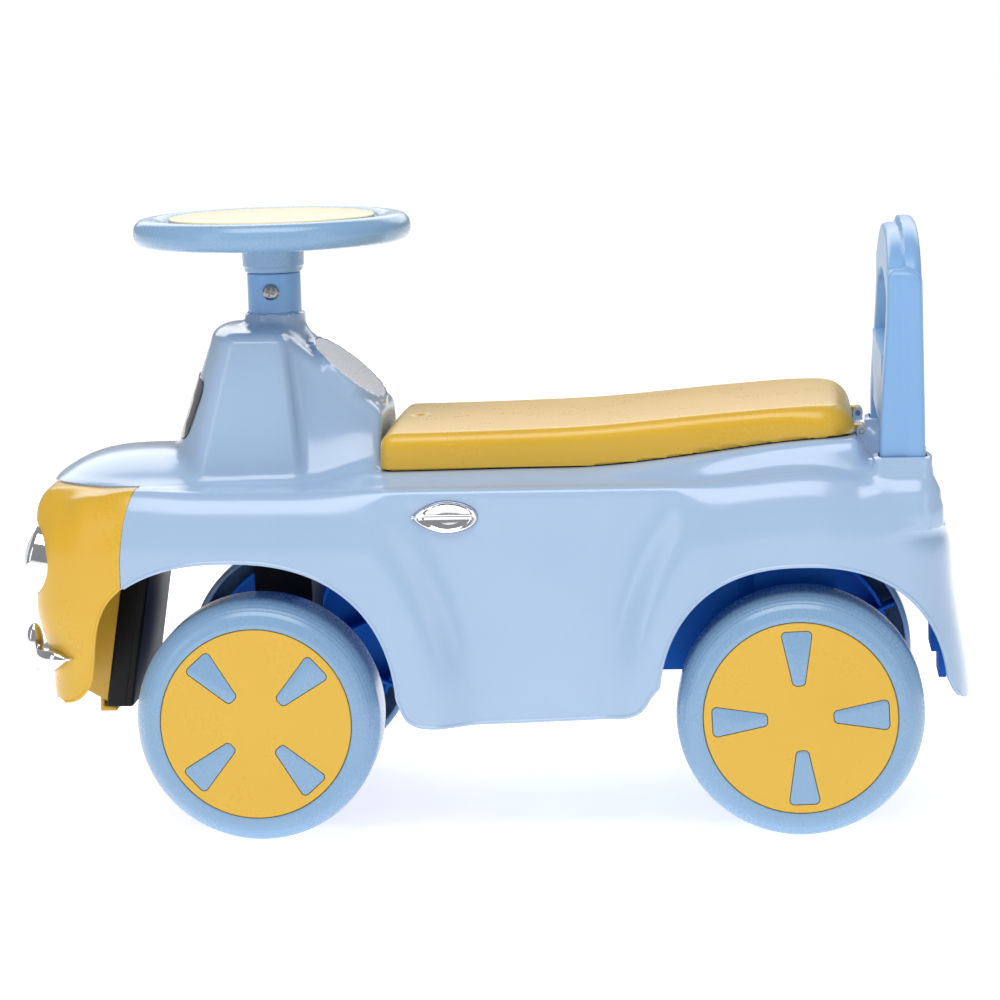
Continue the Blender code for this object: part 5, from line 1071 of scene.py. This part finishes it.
# %% Cheeks, shelf and clip
def nose_wall(z):
    """Middle of the nose's wall on the car's middle plane."""
    lean = soft_curve(NOSE_LEAN, z) + DRAFT * (z - DRAFT_FOOT)
    return float(BODY_MIDDLE - BODY_REACH + lean + 0.5 * WALL)


high, low, back = 0.1600, 0.0797, 0.0003
cheek = [(box_front(high, back), high), (box_front(low, back), low)]
cheek += [(nose_wall(z), z) for z in np.linspace(low + 0.0160, high - 0.0100, 9)]
for side in (-1, 1):
    carve(nose, "UNION", prism("cheek", cheek, "Y", *sorted((side * 0.0460, side * 0.0490))))
shelf = [(box_front(low + 0.0045, back), low + 0.0045), (box_front(low + 0.0015, back), low + 0.0015)]
shelf += [(nose_wall(low + 0.0155), low + 0.0155), (nose_wall(low + 0.0185), low + 0.0185)]
carve(nose, "UNION", prism("shelf", shelf, "Y", -0.0475, 0.0475))
hook = [(-0.0055, 0.0085), (-0.0060, -0.0045), (0.0060, -0.0045), (0.0060, -0.0013)]
hook += [(-0.0030, -0.0003), (-0.0026, 0.0080)]
hook = [(BOX_FRONT + x, BOX_BOTTOM + z) for x, z in hook]
carve(nose, "UNION", soften_edges(prism("clip", hook, "Y", -0.0440, 0.0440), 0.0012, 3))

# %% [markdown]
# ## The edge of the nose
#
# The nose's lower edge is rolled like the arches, so the same tube follows it. It stops short of the
# front end, where the edge tucks in below the bumper. With it the nose is complete and gets its
# finish.


# %% The pale rolled edge of the nose
edge_x, edge_z = np.array(nose_line).T
edge_y = side_of(hull_rule, edge_x, edge_z) - 0.0006
for side in (-1, 1):
    path = np.stack([edge_x, side * edge_y, edge_z], axis=1)[: int(0.86 * len(edge_x))]
    absorb(nose, tube("nose_lip", path, 0.0011))
dress(nose, "car", YELLOW, "front_fascia")

# %% [markdown]
# ## The chrome bumper
#
# A slim bar wraps round the nose and runs out into points, with two rounded overriders. Its path is
# found on the body itself: for many directions round the nose the rule tells where the surface is,
# and a small rounded section is laid there.


# %% Bar and overriders
def on_hull(x, y, z):
    """Slides points level along the plan's slope until they lie on the hull."""
    points = np.stack([x, y, z], axis=1)
    for _ in range(15):
        value, slope = slope_of(hull_rule, points)
        slope[:, 2] = 0.0
        points -= (value / np.maximum((slope**2).sum(1), 0.2))[:, None] * slope
    return points, slope / np.linalg.norm(slope, axis=1, keepdims=True)


angles = np.radians(np.linspace(180.0 - 62.0, 180.0 + 62.0, 121 if FINE else 61))
c, s = np.cos(angles), np.sin(angles)
reach = (np.abs(c) ** NOSE_POWER + np.abs(s) ** NOSE_POWER) ** (-1.0 / NOSE_POWER)
bar_x, bar_y = BODY_MIDDLE + BODY_REACH * c * reach, BODY_HALF * s * reach
length = np.concatenate([[0.0], np.cumsum(np.hypot(np.diff(bar_x), np.diff(bar_y)))])
even = np.linspace(0.0, length[-1], len(angles))
bar_x, bar_y = np.interp(even, length, bar_x), np.interp(even, length, bar_y)
keep = bar_x < -0.2800
bar_x, bar_y = bar_x[keep], bar_y[keep]
share = np.abs(np.linspace(-1.0, 1.0, len(bar_x)))
slim = np.maximum(0.10, 1.0 - ease((share - 0.84) / 0.16) ** 2)
SECTION = [(0.0, -0.40), (0.70, -0.50), (1.0, -0.20), (1.0, 0.20), (0.70, 0.50), (0.0, 0.40)]
section = [p if p[0] > 0.001 else (0.0, p[1]) for p in round_off(SECTION, 0.3)]
columns = []
for out, rise in section:
    z = 0.1135 + 0.0120 * share**2 + rise * 0.0165 * slim
    base, normal = on_hull(bar_x, bar_y, z)
    push = 0.0003 + out * 0.0115 * (0.20 + 0.80 * slim)
    columns.append(base + normal * push[:, None])
bumper = loft("bumper_bar", [[columns[k][i] for k in range(len(section))] for i in range(len(bar_x))])
for side in (-1, 1):
    rings = []
    for t in np.linspace(-1.0, 1.0, 17):
        size = max(0.05, 1.0 - abs(t) ** 2.6) ** 0.42
        middle = (-0.3205, side * 0.062)
        ring = squircle(0.0058 * size, 0.0072 * size, 2.4, 32, middle)
        rings.append([(x, y, 0.1210 + 0.0165 * t) for x, y in ring])
    absorb(bumper, loft("overrider", rings))
dress(bumper, "car", CHROME, "bumper")

# %% [markdown]
# ## Door handles
#
# Each door has one leaf of bright trim with a hollow bowl for the fingers, a bar across it and a
# tiny ball at its front tip. The leaf is built from rings that all have the leaf's outline, each a
# little smaller, at heights read off a small profile: rim, fall, bowl.

# %% Leaf, bowl and bar
PROFILE = ((1.00, 0.0), (1.00, 0.0012), (0.985, 0.0022), (0.95, 0.0029), (0.90, 0.0030), (0.86, 0.0027))
PROFILE += ((0.80, 0.0014), (0.70, 0.0008), (0.45, 0.0006), (0.15, 0.0006))
BAR = round_off([(0.0003, -0.0017), (0.0023, -0.0015), (0.0023, 0.0015), (0.0003, 0.0017)], 0.0009)
bends = np.linspace(-1.2, 1.2, 9)
BALL = [(0.0, -0.0012)] + [(0.0012 * math.cos(a), 0.0012 * math.sin(a)) for a in bends] + [(0.0, 0.0012)]
for side, name in ((-1, "left"), (1, "right")):
    rings = []
    for scale, height in PROFILE:
        shift = 0.0030 * (1.0 - scale)
        ring = []
        for u, w in leaf_line:
            base = DOOR - DRAFT * w + height - 0.0005
            ring.append((HANDLE_MIDDLE + shift + u * scale, side * base, HANDLE_Z + w * scale))
        rings.append(ring)
    leaf = loft(f"door_trim_{name}", rings)
    rings = []
    for u in np.linspace(-0.0140, 0.0170, 9):
        rings.append([(HANDLE_MIDDLE + u, side * (DOOR + v), HANDLE_Z + w) for v, w in BAR])
    absorb(leaf, loft("bar", rings))
    ball = spin("ball", BALL, 24)
    centre = (HANDLE_MIDDLE - HANDLE_HALF - 0.0004, side * (DOOR + 0.0012), HANDLE_Z)
    absorb(leaf, place(ball, Matrix.Translation(centre)))
    dress(leaf, "car", CHROME, f"door_handle_{name}")

# %% [markdown]
# ## Windscreen and dash plate
#
# Both lie on the tower. The pane is a flat outline pushed back until it meets the sloping front. Its
# rim is rounded by stepping the outline in as it rises. A plane shrink-wrapped to the body would do
# the same, but it would have no thickness. The dash plate is an oval disc, made as its bed was.


# %% The pane
def front_of(rule, y, z):
    """How far forward the surface stands at points (y, z) of the tower's front."""
    x = np.full(len(y), -0.230)
    for _ in range(25):
        gap = rule(x, y, z)
        slope = (rule(x + 0.0002, y, z) - gap) / 0.0002
        x = x - gap / np.minimum(slope, -0.3)
    return x


PANE = ((0.0, 0.0002), (0.0, 0.0008), (-0.0003, 0.0011), (-0.0008, 0.0012))
PANE += ((-0.012, 0.0012), (-0.020, 0.0012))
rings = []
for grow, height in PANE:
    ring = np.array(squircle(0.0500 + grow, 0.0220 + grow, 5.0, 96, (0.0, 0.2820)))
    x = front_of(tower_rule, ring[:, 0], ring[:, 1]) - height
    rings.append([(a, b, c) for a, (b, c) in zip(x, ring)])
dress(loft("windscreen_pane", rings), "car", GLASS, "windscreen")

# %% The dash plate
PLATE = ((0.0, 0.0001), (0.0, 0.0014), (-0.0004, 0.0018), (-0.02, 0.0018))
dress(oval_disc("dash_plate", 0.0430, 0.0310, PLATE), "car", PANEL, "dash_panel")

# %% [markdown]
# ## The seat, also as a rule
#
# The seat is a long rounded block whose wall rolls over into a nearly flat top, with a shallow dip
# for a finger at the front. It is easy to write as a rule, and the same `skin` makes it: the dip and
# the rolled edges come with their fillets, which bevels on a box would have to be coaxed into.


# %% The seat
SEAT_FRONT, SEAT_REAR, SEAT_HALF, SEAT_WALL = -0.0745, 0.2456, 0.0885, 0.0032
SEAT_LINE = ((-0.080, 0.2680), (-0.030, 0.2684), (0.040, 0.2698), (0.080, 0.2716), (0.155, 0.2778))
SEAT_LINE += ((0.205, 0.2810), (0.228, 0.2810), (0.250, 0.2780))
seat_curve = np.array(smooth_line(SEAT_LINE, 120)).T


def block_reach(x, y, middle, half_x, half_y, radius):
    """The distance outside a rectangle with round corners."""
    u = np.abs(x - middle) - half_x + radius
    v = np.abs(y) - half_y + radius
    return np.hypot(np.maximum(u, 0.0), np.maximum(v, 0.0)) + np.minimum(np.maximum(u, v), 0.0) - radius


def seat_rule(x, y, z):
    middle, half = 0.5 * (SEAT_FRONT + SEAT_REAR), 0.5 * (SEAT_REAR - SEAT_FRONT)
    corner = np.where(x > middle, 0.024, 0.010)
    side = block_reach(x, y, middle, half, SEAT_HALF, corner) + 0.03 * (z - 0.243)
    crown = 0.0016 * (1.0 - (y / SEAT_HALF) ** 2)
    top = np.interp(x, *seat_curve) + crown
    roll = 0.0095 + 0.006 * ease((x - 0.19) / 0.05)
    block = rounded(side, z - top, roll, roll * 0.95)
    dip = (1.0 - np.hypot(np.hypot((x + 0.0545) / 0.0078, y / 0.0145), (z - top - 0.0030) / 0.0056)) * 0.005
    return np.maximum(block, dip)


def seat_outside(x, y, z):
    return np.maximum(seat_rule(x, y, z), deck_height(x) + 0.0008 - z)


def seat_inside(x, y, z):
    return np.maximum(seat_rule(x, y, z) + SEAT_WALL, deck_height(x) - 0.004 - z)


seat_low, seat_high = (-0.084, -0.097, 0.230), (0.256, 0.097, 0.292)
seat = skin("seat_shell", seat_outside, seat_low, seat_high, 0.0022 if FINE else 0.0040)
carve(seat, "DIFFERENCE", skin("seat_hollow", seat_inside, seat_low, seat_high, 0.0050))
for side in (-1, 1):
    arm = [(0.2415, 0.2618), (HINGE_X, 0.2618), (HINGE_X, 0.2648), (0.2415, 0.2648)]
    left, right = side * HINGE_Y - 0.005, side * HINGE_Y + 0.005
    knuckle = rod("knuckle", 0.0038, "Y", left, right, hinge_line, 40)
    carve(seat, "UNION", carve(prism("arm", arm, "Y", left, right), "UNION", knuckle))
    carve(seat, "DIFFERENCE", rod("eye", 0.0020, "Y", left - 0.002, right + 0.002, hinge_line, 24))
dress(seat, "seat", YELLOW, "seat_lid")


# %% [markdown]
# ## The backrest
#
# The backrest is a hoop with a low panel: an arch seen from the front, less the hand opening, with a
# rounded cap on each post. Its front band is a little narrower than the rear one, as two halves of
# a mould leave it. A swept tube could make the hoop, but not the panel and the caps that run into it.


# %% The backrest
def hoop_front(z):
    return soft_curve(((0.200, 0.2600), (0.256, 0.2607), (0.361, 0.2662), (0.400, 0.2680)), z)


def hoop_rear(z):
    return 0.2904 - 0.0095 * (z - 0.256)


def arch_reach(y, z, half, top, spring, power):
    """The distance outside a plain arch: straight legs up to the spring line, then a round top."""
    rise = np.maximum(0.0, z - spring) / (top - spring)
    reach = (np.abs(y / half) ** power + rise**power) ** (1.0 / power) + 1e-9
    return (reach - 1.0) * np.where(z > spring, 0.5 * (half + top - spring), half) * 0.9


def backrest_rule(x, y, z):
    front, rear = hoop_front(z), hoop_rear(z)
    slab = np.maximum(front - x, x - rear)
    step = 0.0012 * ease((0.2785 - x) / 0.0015)
    outer = arch_reach(y, z, 0.1100 - step, 0.4006 - 4.0 * step, 0.3450, 2.7)
    hoop = rounded(outer, slab, 0.0045, 0.0045)
    leg = np.abs(np.abs(y) - 0.1015) - (0.01175 - step)
    crown = 0.3745 - 0.25 * np.maximum(0.0, x - 0.279) - 0.20 * np.maximum(0.0, 0.270 - x)
    post = rounded(rounded(leg, slab, 0.0040, 0.0040), z - crown, 0.0060, 0.0060)
    hoop = np.minimum(hoop, post)
    hole = np.maximum(arch_reach(y, z, 0.0868, 0.3660, 0.3460, 2.4), 0.2100 - z)
    panel = np.maximum(np.maximum(0.2625 - x, x - 0.2852), np.maximum(z - 0.3155, 0.2625 - z))
    panel = np.maximum(panel, np.abs(y) - 0.0890)
    ring = rounded(hoop, -hole, 0.0025, 0.0025)
    return np.maximum(np.minimum(ring, panel), 0.2120 - z)


back_low, back_high = (0.254, -0.118, 0.207), (0.296, 0.118, 0.406)
hoop = skin("backrest_hoop", backrest_rule, back_low, back_high, 0.0018 if FINE else 0.0030)
dress(hoop, "car", MID_BLUE, "backrest")

# %% [markdown]
# ## The steering wheel
#
# Rim, dish and collar are one turned outline, and so is the cap that covers the hub. The rim has a
# full, soft section, because it is the part that small hands hold.


# %% Rim, hub cap and column
def upright_spin(name, profile, steps=128):
    """A turned piece that stands on the column's axis, from (radius, height) points."""
    thing = spin(name, profile, steps)
    turned = Matrix.Rotation(math.radians(90.0), 4, "X")
    return place(thing, Matrix.Translation((STEERING_X, 0.0, 0.0)) @ turned)


COLUMN_TOP, RIM_LOW, RIM_HIGH = 0.3722, 0.3925, 0.4115
rim_line = [(0.0, 0.3960), (0.0063, 0.3960), (0.0063, COLUMN_TOP + 0.0003), (0.0200, COLUMN_TOP + 0.0003)]
rim_line += [(0.0203, 0.3760), (0.0213, 0.3768), (0.0215, 0.3900)]
rim_line += [(0.0300, 0.3940), (0.0700, 0.3950), (0.0765, RIM_LOW + 0.0012), (0.0800, RIM_LOW)]
rim_line += [(0.0880, RIM_LOW), (0.0930, RIM_LOW + 0.0016), (0.0957, RIM_LOW + 0.0058), (0.0962, 0.4020)]
rim_line += [(0.0955, RIM_HIGH - 0.0050), (0.0925, RIM_HIGH - 0.0012), (0.0880, RIM_HIGH)]
rim_line += [(0.0820, RIM_HIGH), (0.0780, RIM_HIGH - 0.0018), (0.0760, RIM_HIGH - 0.0050)]
rim_line += [(0.0752, 0.4040), (0.0735, 0.4040), (0.0735, 0.4082), (0.0728, 0.4090), (0.0, 0.4090)]
rim = upright_spin("steering_rim", round_off(rim_line, 0.0022, 5))
cap_line = [(0.0, 0.4093), (0.0712, 0.4093), (0.0716, 0.4104), (0.0708, 0.4114), (0.0680, 0.4120)]
cap_line += [(0.0400, 0.4128), (0.0, 0.4131)]
hub_cap = upright_spin("steering_cap", round_off(cap_line, 0.0006, 3))
dress(rim, "steering", TYRE_BLUE, "steering_wheel")
dress(hub_cap, "steering", CREAM, "steering_pad")

sleeve = [(0.0063, 0.3270), (0.0175, 0.3270), (0.0185, 0.3280), (0.0185, COLUMN_TOP - 0.0008)]
sleeve += [(0.0177, COLUMN_TOP), (0.0063, COLUMN_TOP)]
column = upright_spin("column_sleeve", round_off(sleeve, 0.0005, 3), 96)
dress(column, "steering", MID_BLUE, "steering_column")

# %% [markdown]
# ## Copies round a circle, by Geometry Nodes
#
# A wheel repeats itself: eight ribs stiffen its core and four pads show through its cap. One
# Geometry Nodes tree makes them all. It takes one rib or pad, sets copies of it round the axle and
# turns each to face outward. The number of copies, the first turn and the reach are named inputs,
# so the same tree also sets the marks of the dash plate.


# %% The ring tree
def ring_tree(finish):
    """A tree that copies its geometry round the Y axis."""
    tree = bpy.data.node_groups.new("ring of copies", "GeometryNodeTree")
    add, link = tree.nodes.new, tree.links.new
    tree.interface.new_socket("Piece", in_out="INPUT", socket_type="NodeSocketGeometry")
    for label, kind in (("Copies", "Int"), ("First turn", "Float"), ("Step", "Float"), ("Reach", "Float")):
        tree.interface.new_socket(label, in_out="INPUT", socket_type=f"NodeSocket{kind}")
    tree.interface.new_socket("Ring", in_out="OUTPUT", socket_type="NodeSocketGeometry")
    sizes, ring = add("NodeGroupInput"), add("NodeGroupOutput")
    line, index = add("GeometryNodeMeshLine"), add("GeometryNodeInputIndex")
    link(sizes.outputs["Copies"], line.inputs["Count"])
    line.inputs["Offset"].default_value = (0.0, 0.0, 0.0)
    turn = add("ShaderNodeMath")
    turn.operation = "MULTIPLY_ADD"
    link(index.outputs[0], turn.inputs[0])
    link(sizes.outputs["Step"], turn.inputs[1])
    link(sizes.outputs["First turn"], turn.inputs[2])
    angles = add("ShaderNodeCombineXYZ")
    link(turn.outputs[0], angles.inputs["Y"])
    out = add("ShaderNodeCombineXYZ")
    link(sizes.outputs["Reach"], out.inputs["X"])
    copies = add("GeometryNodeInstanceOnPoints")
    link(line.outputs[0], copies.inputs["Points"])
    link(sizes.outputs["Piece"], copies.inputs["Instance"])
    link(angles.outputs[0], copies.inputs["Rotation"])
    push = add("GeometryNodeTranslateInstances")
    link(copies.outputs[0], push.inputs["Instances"])
    link(out.outputs[0], push.inputs["Translation"])
    real, paint = add("GeometryNodeRealizeInstances"), add("GeometryNodeSetMaterial")
    paint.inputs["Material"].default_value = finish.material
    link(push.outputs[0], real.inputs[0])
    link(real.outputs[0], paint.inputs[0])
    link(paint.outputs[0], ring.inputs[0])
    return tree


def ring_of(piece, finish, **sizes):
    """Copies of a piece round the Y axis, as a plain mesh."""
    tree = ring_tree(finish)
    nodes = piece.modifiers.new("ring", "NODES")
    nodes.node_group = tree
    for item in tree.interface.items_tree:
        if item.in_out == "INPUT" and item.name in sizes:
            nodes[item.identifier] = sizes[item.name]
    return bake(piece)


# %% [markdown]
# ## The wheels
#
# Each wheel is a blow-moulded tyre with a soft shoulder, fine steps near its tread and a dish for
# the cap. The cap is a flat yellow disc with four windows, and the tyre's own pads fill them. The
# core, which shows from behind, closes the wheel with a ribbed disc. All four wheels are the same
# shapes, turned by the angle that their windows stand at and mirrored for the car's left.

# %% Tyre, cap and core
FACE, WEB, BORE, TREAD, LIP = 0.0235, 0.0199, 0.0044, WHEEL_RADIUS, 0.0644
WHEEL_Y = 0.120
TYRE_LINE = [(BORE, 0.0135), (0.0110, 0.0135), (0.0110, WEB), (LIP, WEB), (LIP, FACE - 0.0007)]
TYRE_LINE += [(0.0650, FACE - 0.0001), (0.0675, FACE), (0.0705, FACE - 0.0006), (0.0735, FACE - 0.0020)]
TYRE_LINE += [(0.0760, FACE - 0.0040), (0.0763, FACE - 0.0047), (0.0780, FACE - 0.0064)]
TYRE_LINE += [(0.0783, FACE - 0.0071), (0.0797, FACE - 0.0089), (0.0800, FACE - 0.0096)]
TYRE_LINE += [(0.0814, FACE - 0.0122), (0.0822, FACE - 0.0150), (TREAD, FACE - 0.0185), (TREAD, -0.0210)]
TYRE_LINE += [(0.0818, -0.0230), (0.0805, -FACE), (0.0785, -FACE), (0.0785, FACE - 0.0160)]
TYRE_LINE += [(0.0634, WEB - 0.0030), (0.0110, 0.0104), (0.0110, -FACE), (BORE, -FACE)]
CORE_LINE = [(0.0117, -0.0195), (0.0150, -0.0195), (0.0150, 0.0047), (0.0658, 0.0047), (0.0658, -0.0115)]
CORE_LINE += [(0.0683, -0.0115), (0.0683, 0.0072), (0.0117, 0.0072)]


def pad_line(grow):
    """One inlay seen from the side, pointing away from the axle."""
    points = []
    corners = ((0.055, -0.00675, -90), (0.055, 0.00675, 0), (0.025, 0.00125, 90), (0.025, -0.00125, 180))
    for along, across, start in corners:
        for angle in np.radians(np.linspace(start, start + 90, 7)):
            reach = 0.0030 + grow
            points.append((along + reach * math.cos(angle), across + reach * math.sin(angle)))
    return points


def make_wheel(end, name, side, centre_x, first):
    """Tyre, cap and core of one wheel, in place."""
    turns = {"Copies": 4, "First turn": -math.radians(first), "Step": math.radians(90.0), "Reach": 0.0}
    tyre = spin(f"tyre_shell_{end}_{name}", round_off(TYRE_LINE, 0.0004, 3), 128)
    pad = soften_edges(prism("pad", pad_line(0.0), "Y", WEB - 0.0010, FACE - 0.0001), 0.0004, 2)
    absorb(tyre, ring_of(pad, TYRE_BLUE, **turns))
    cap_line = [(0.0, WEB + 0.0003), (0.0640, WEB + 0.0003), (0.0640, FACE - 0.0008)]
    cap_line += [(0.0635, FACE - 0.0003), (0.0, FACE - 0.0003)]
    cap = spin(f"wheel_cap_{end}_{name}", cap_line, 128)
    windows = ring_of(prism("window", pad_line(0.0005), "Y", WEB - 0.002, FACE + 0.002), YELLOW, **turns)
    carve(cap, "DIFFERENCE", windows, solver="EXACT")
    core = spin(f"wheel_rib_core_{end}_{name}", round_off(CORE_LINE, 0.0004, 3), 96)
    rib = box("rib", (0.0140, -0.0145, -0.0011), (0.0775, 0.0064, 0.0011))
    turns = {"Copies": 8, "First turn": math.radians(22.5), "Step": math.radians(45.0), "Reach": 0.0}
    absorb(core, ring_of(soften_edges(rib, 0.0003, 2), DEEP_BLUE, **turns))
    home = Matrix.Translation((centre_x, side * WHEEL_Y, WHEEL_RADIUS))
    home = home @ Matrix.Diagonal((1.0, side, 1.0, 1.0))
    wheel = ((tyre, TYRE_BLUE, "tyre"), (cap, YELLOW, "hubcap"), (core, DEEP_BLUE, "wheel_core"))
    for piece, finish, node in wheel:
        dress(place(piece, home), f"{end}_{name}_wheel", finish, f"{node}_{end}_{name}")


for side, name in ((-1, "left"), (1, "right")):
    make_wheel("front", name, side, FRONT_AXLE, 42.0)
    make_wheel("rear", name, side, REAR_AXLE, 2.0)

# %% [markdown]
# ## The column's screw and the marks of the dash plate
#
# A screw with a cross recess locks the column to the shaft. Its head is a turned outline, cut by two
# slim blocks. The dash plate carries two rings of fine raised ticks, as dials without numbers.

# %% Screw and ticks
SCREW_Z = 0.3596
screw_line = [(0.0, -0.0213), (0.0034, -0.0211), (0.0049, -0.0205), (0.0056, -0.0195), (0.0057, -0.0188)]
screw_line += [(0.0022, -0.0188), (0.0022, 0.0213), (0.0, 0.0213)]
bolt = spin("column_bolt", screw_line, 64)
for turn in (20.0, 110.0):
    slot = box("slot", (-0.0030, -0.0225, -0.0006), (0.0030, -0.0198, 0.0006))
    carve(bolt, "DIFFERENCE", place(slot, Matrix.Rotation(math.radians(turn), 4, "Y")), solver="EXACT")
dress(place(bolt, Matrix.Translation((STEERING_X, 0.0, SCREW_Z))), "steering", STEEL, "column_screw")

flat = Matrix((on_dash(1, 0, 0), on_dash(0, 0, 1), on_dash(0, 1, 0))) - Matrix([on_dash(0, 0, 0)] * 3)
lay = Matrix.Translation(on_dash(0.0, 0.0, 0.0)) @ flat.transposed().to_4x4()
marks = []
for across in (-0.0195, 0.0195):
    tick = box("tick", (-0.0008, 0.0017, -0.00022), (0.0008, 0.0020, 0.00022))
    sizes = {"Copies": 11, "First turn": math.radians(30.0), "Step": math.radians(30.0), "Reach": 0.0110}
    marks.append(place(ring_of(tick, WHITE, **sizes), Matrix.Translation((0.0, 0.0, across))))
ticks = absorb(marks[0], marks[1])
ticks.name = "dial_ticks"
dress(outward(place(ticks, lay)), "car", WHITE)

# %% [markdown]
# ## The finishes of the solids that stay
#
# Axles, screws, the tub and the like have the right shape already. They keep their meshes and only
# get the new finishes.

# %% Repaint the carried-over solids
BY_SLOT = {
    finish.slot: finish
    for finish in (LIGHT_BLUE, MID_BLUE, DEEP_BLUE, YELLOW, CHROME, STEEL, BLACK, LENS, WHITE, PANEL)
}
for part in frame["record"]["subparts"]:
    thing = frame["nodes"][part["node"]]
    thing.data.materials.clear()
    thing.data.materials.append(BY_SLOT[part["material_slot"]].material)

# %% [markdown]
# ## The studio
#
# The picture is a catalogue shot: white paper, large soft boxes, no hard shadow. The top box gives
# the form, the back box draws a pale line along the upper edges, and two narrow boxes put a glint on
# the trim. The camera stands at the driver's left, a little behind the middle, and looks slightly
# down. Its place, turn and lens were solved from the wheels' circles.

# %% Floor, light and camera
paper = bpy.data.materials.new("white paper")
paper.use_nodes = True
sheet = paper.node_tree.nodes["Principled BSDF"]
sheet.inputs["Base Color"].default_value = (0.9, 0.9, 0.9, 1.0)
sheet.inputs["Roughness"].default_value = 0.9
sheet.inputs["Emission Color"].default_value = (1.0, 1.0, 1.0, 1.0)
sheet.inputs["Emission Strength"].default_value = 0.76
floor = shape("floor", [(-8, -8, 0), (8, -8, 0), (8, 12, 0), (-8, 12, 0)], [(0, 1, 2, 3)])
floor.data.materials.append(paper)

world = bpy.data.worlds.new("studio")
world.use_nodes = True
bpy.context.scene.world = world
sky = world.node_tree.nodes["Background"]
sky.inputs["Color"].default_value = (1.0, 1.0, 1.0, 1.0)
sky.inputs["Strength"].default_value = 0.33
seen = world.node_tree.nodes.new("ShaderNodeBackground")
seen.inputs["Color"].default_value = (1.0, 1.0, 1.0, 1.0)
seen.inputs["Strength"].default_value = 1.0
path = world.node_tree.nodes.new("ShaderNodeLightPath")
either = world.node_tree.nodes.new("ShaderNodeMixShader")
world.node_tree.links.new(path.outputs["Is Camera Ray"], either.inputs[0])
world.node_tree.links.new(sky.outputs[0], either.inputs[1])
world.node_tree.links.new(seen.outputs[0], either.inputs[2])
world.node_tree.links.new(either.outputs[0], world.node_tree.nodes["World Output"].inputs[0])


def soft_box(name, spot, aim, width, height, power):
    """A rectangular light that shines from a spot toward an aim."""
    lamp = bpy.data.lights.new(name, "AREA")
    lamp.shape, lamp.size, lamp.size_y, lamp.energy = "RECTANGLE", width, height, power
    thing = bpy.data.objects.new(name, lamp)
    thing.location = spot
    thing.rotation_euler = (Vector(aim) - Vector(spot)).to_track_quat("-Z", "Y").to_euler()
    bpy.context.scene.collection.objects.link(thing)


soft_box("top box", (-0.1, -0.75, 2.0), (0.0, 0.0, 0.2), 1.6, 1.2, 27.0)
soft_box("back box", (0.0, 1.7, 1.15), (0.0, 0.0, 0.25), 2.6, 1.0, 15.0)
soft_box("left box", (-1.6, -1.5, 0.9), (-0.1, 0.0, 0.2), 0.5, 1.4, 3.5)
soft_box("right box", (1.5, -1.6, 0.8), (0.1, 0.0, 0.2), 0.5, 1.3, 2.5)

YAW, PITCH, ROLL = (math.radians(a) for a in (4.496, 8.768, -1.599))
ahead = Vector((-math.sin(YAW) * math.cos(PITCH), math.cos(YAW) * math.cos(PITCH), -math.sin(PITCH)))
level = Vector((math.cos(YAW), math.sin(YAW), 0.0))
upright = level.cross(ahead)
right = math.cos(ROLL) * level + math.sin(ROLL) * upright
up = math.cos(ROLL) * upright - math.sin(ROLL) * level
camera = bpy.data.objects.new("camera", bpy.data.cameras.new("camera"))
camera.data.sensor_width, camera.data.lens = 36.0, 124.26
turned = Matrix((right, up, -ahead)).transposed().to_4x4()
camera.matrix_world = Matrix.Translation((0.1865, -2.3755, 0.5767)) @ turned
bpy.context.scene.collection.objects.link(camera)
bpy.context.scene.camera = camera
bpy.context.scene.view_settings.view_transform = "Standard"
print("camera at", [round(v, 3) for v in camera.location])
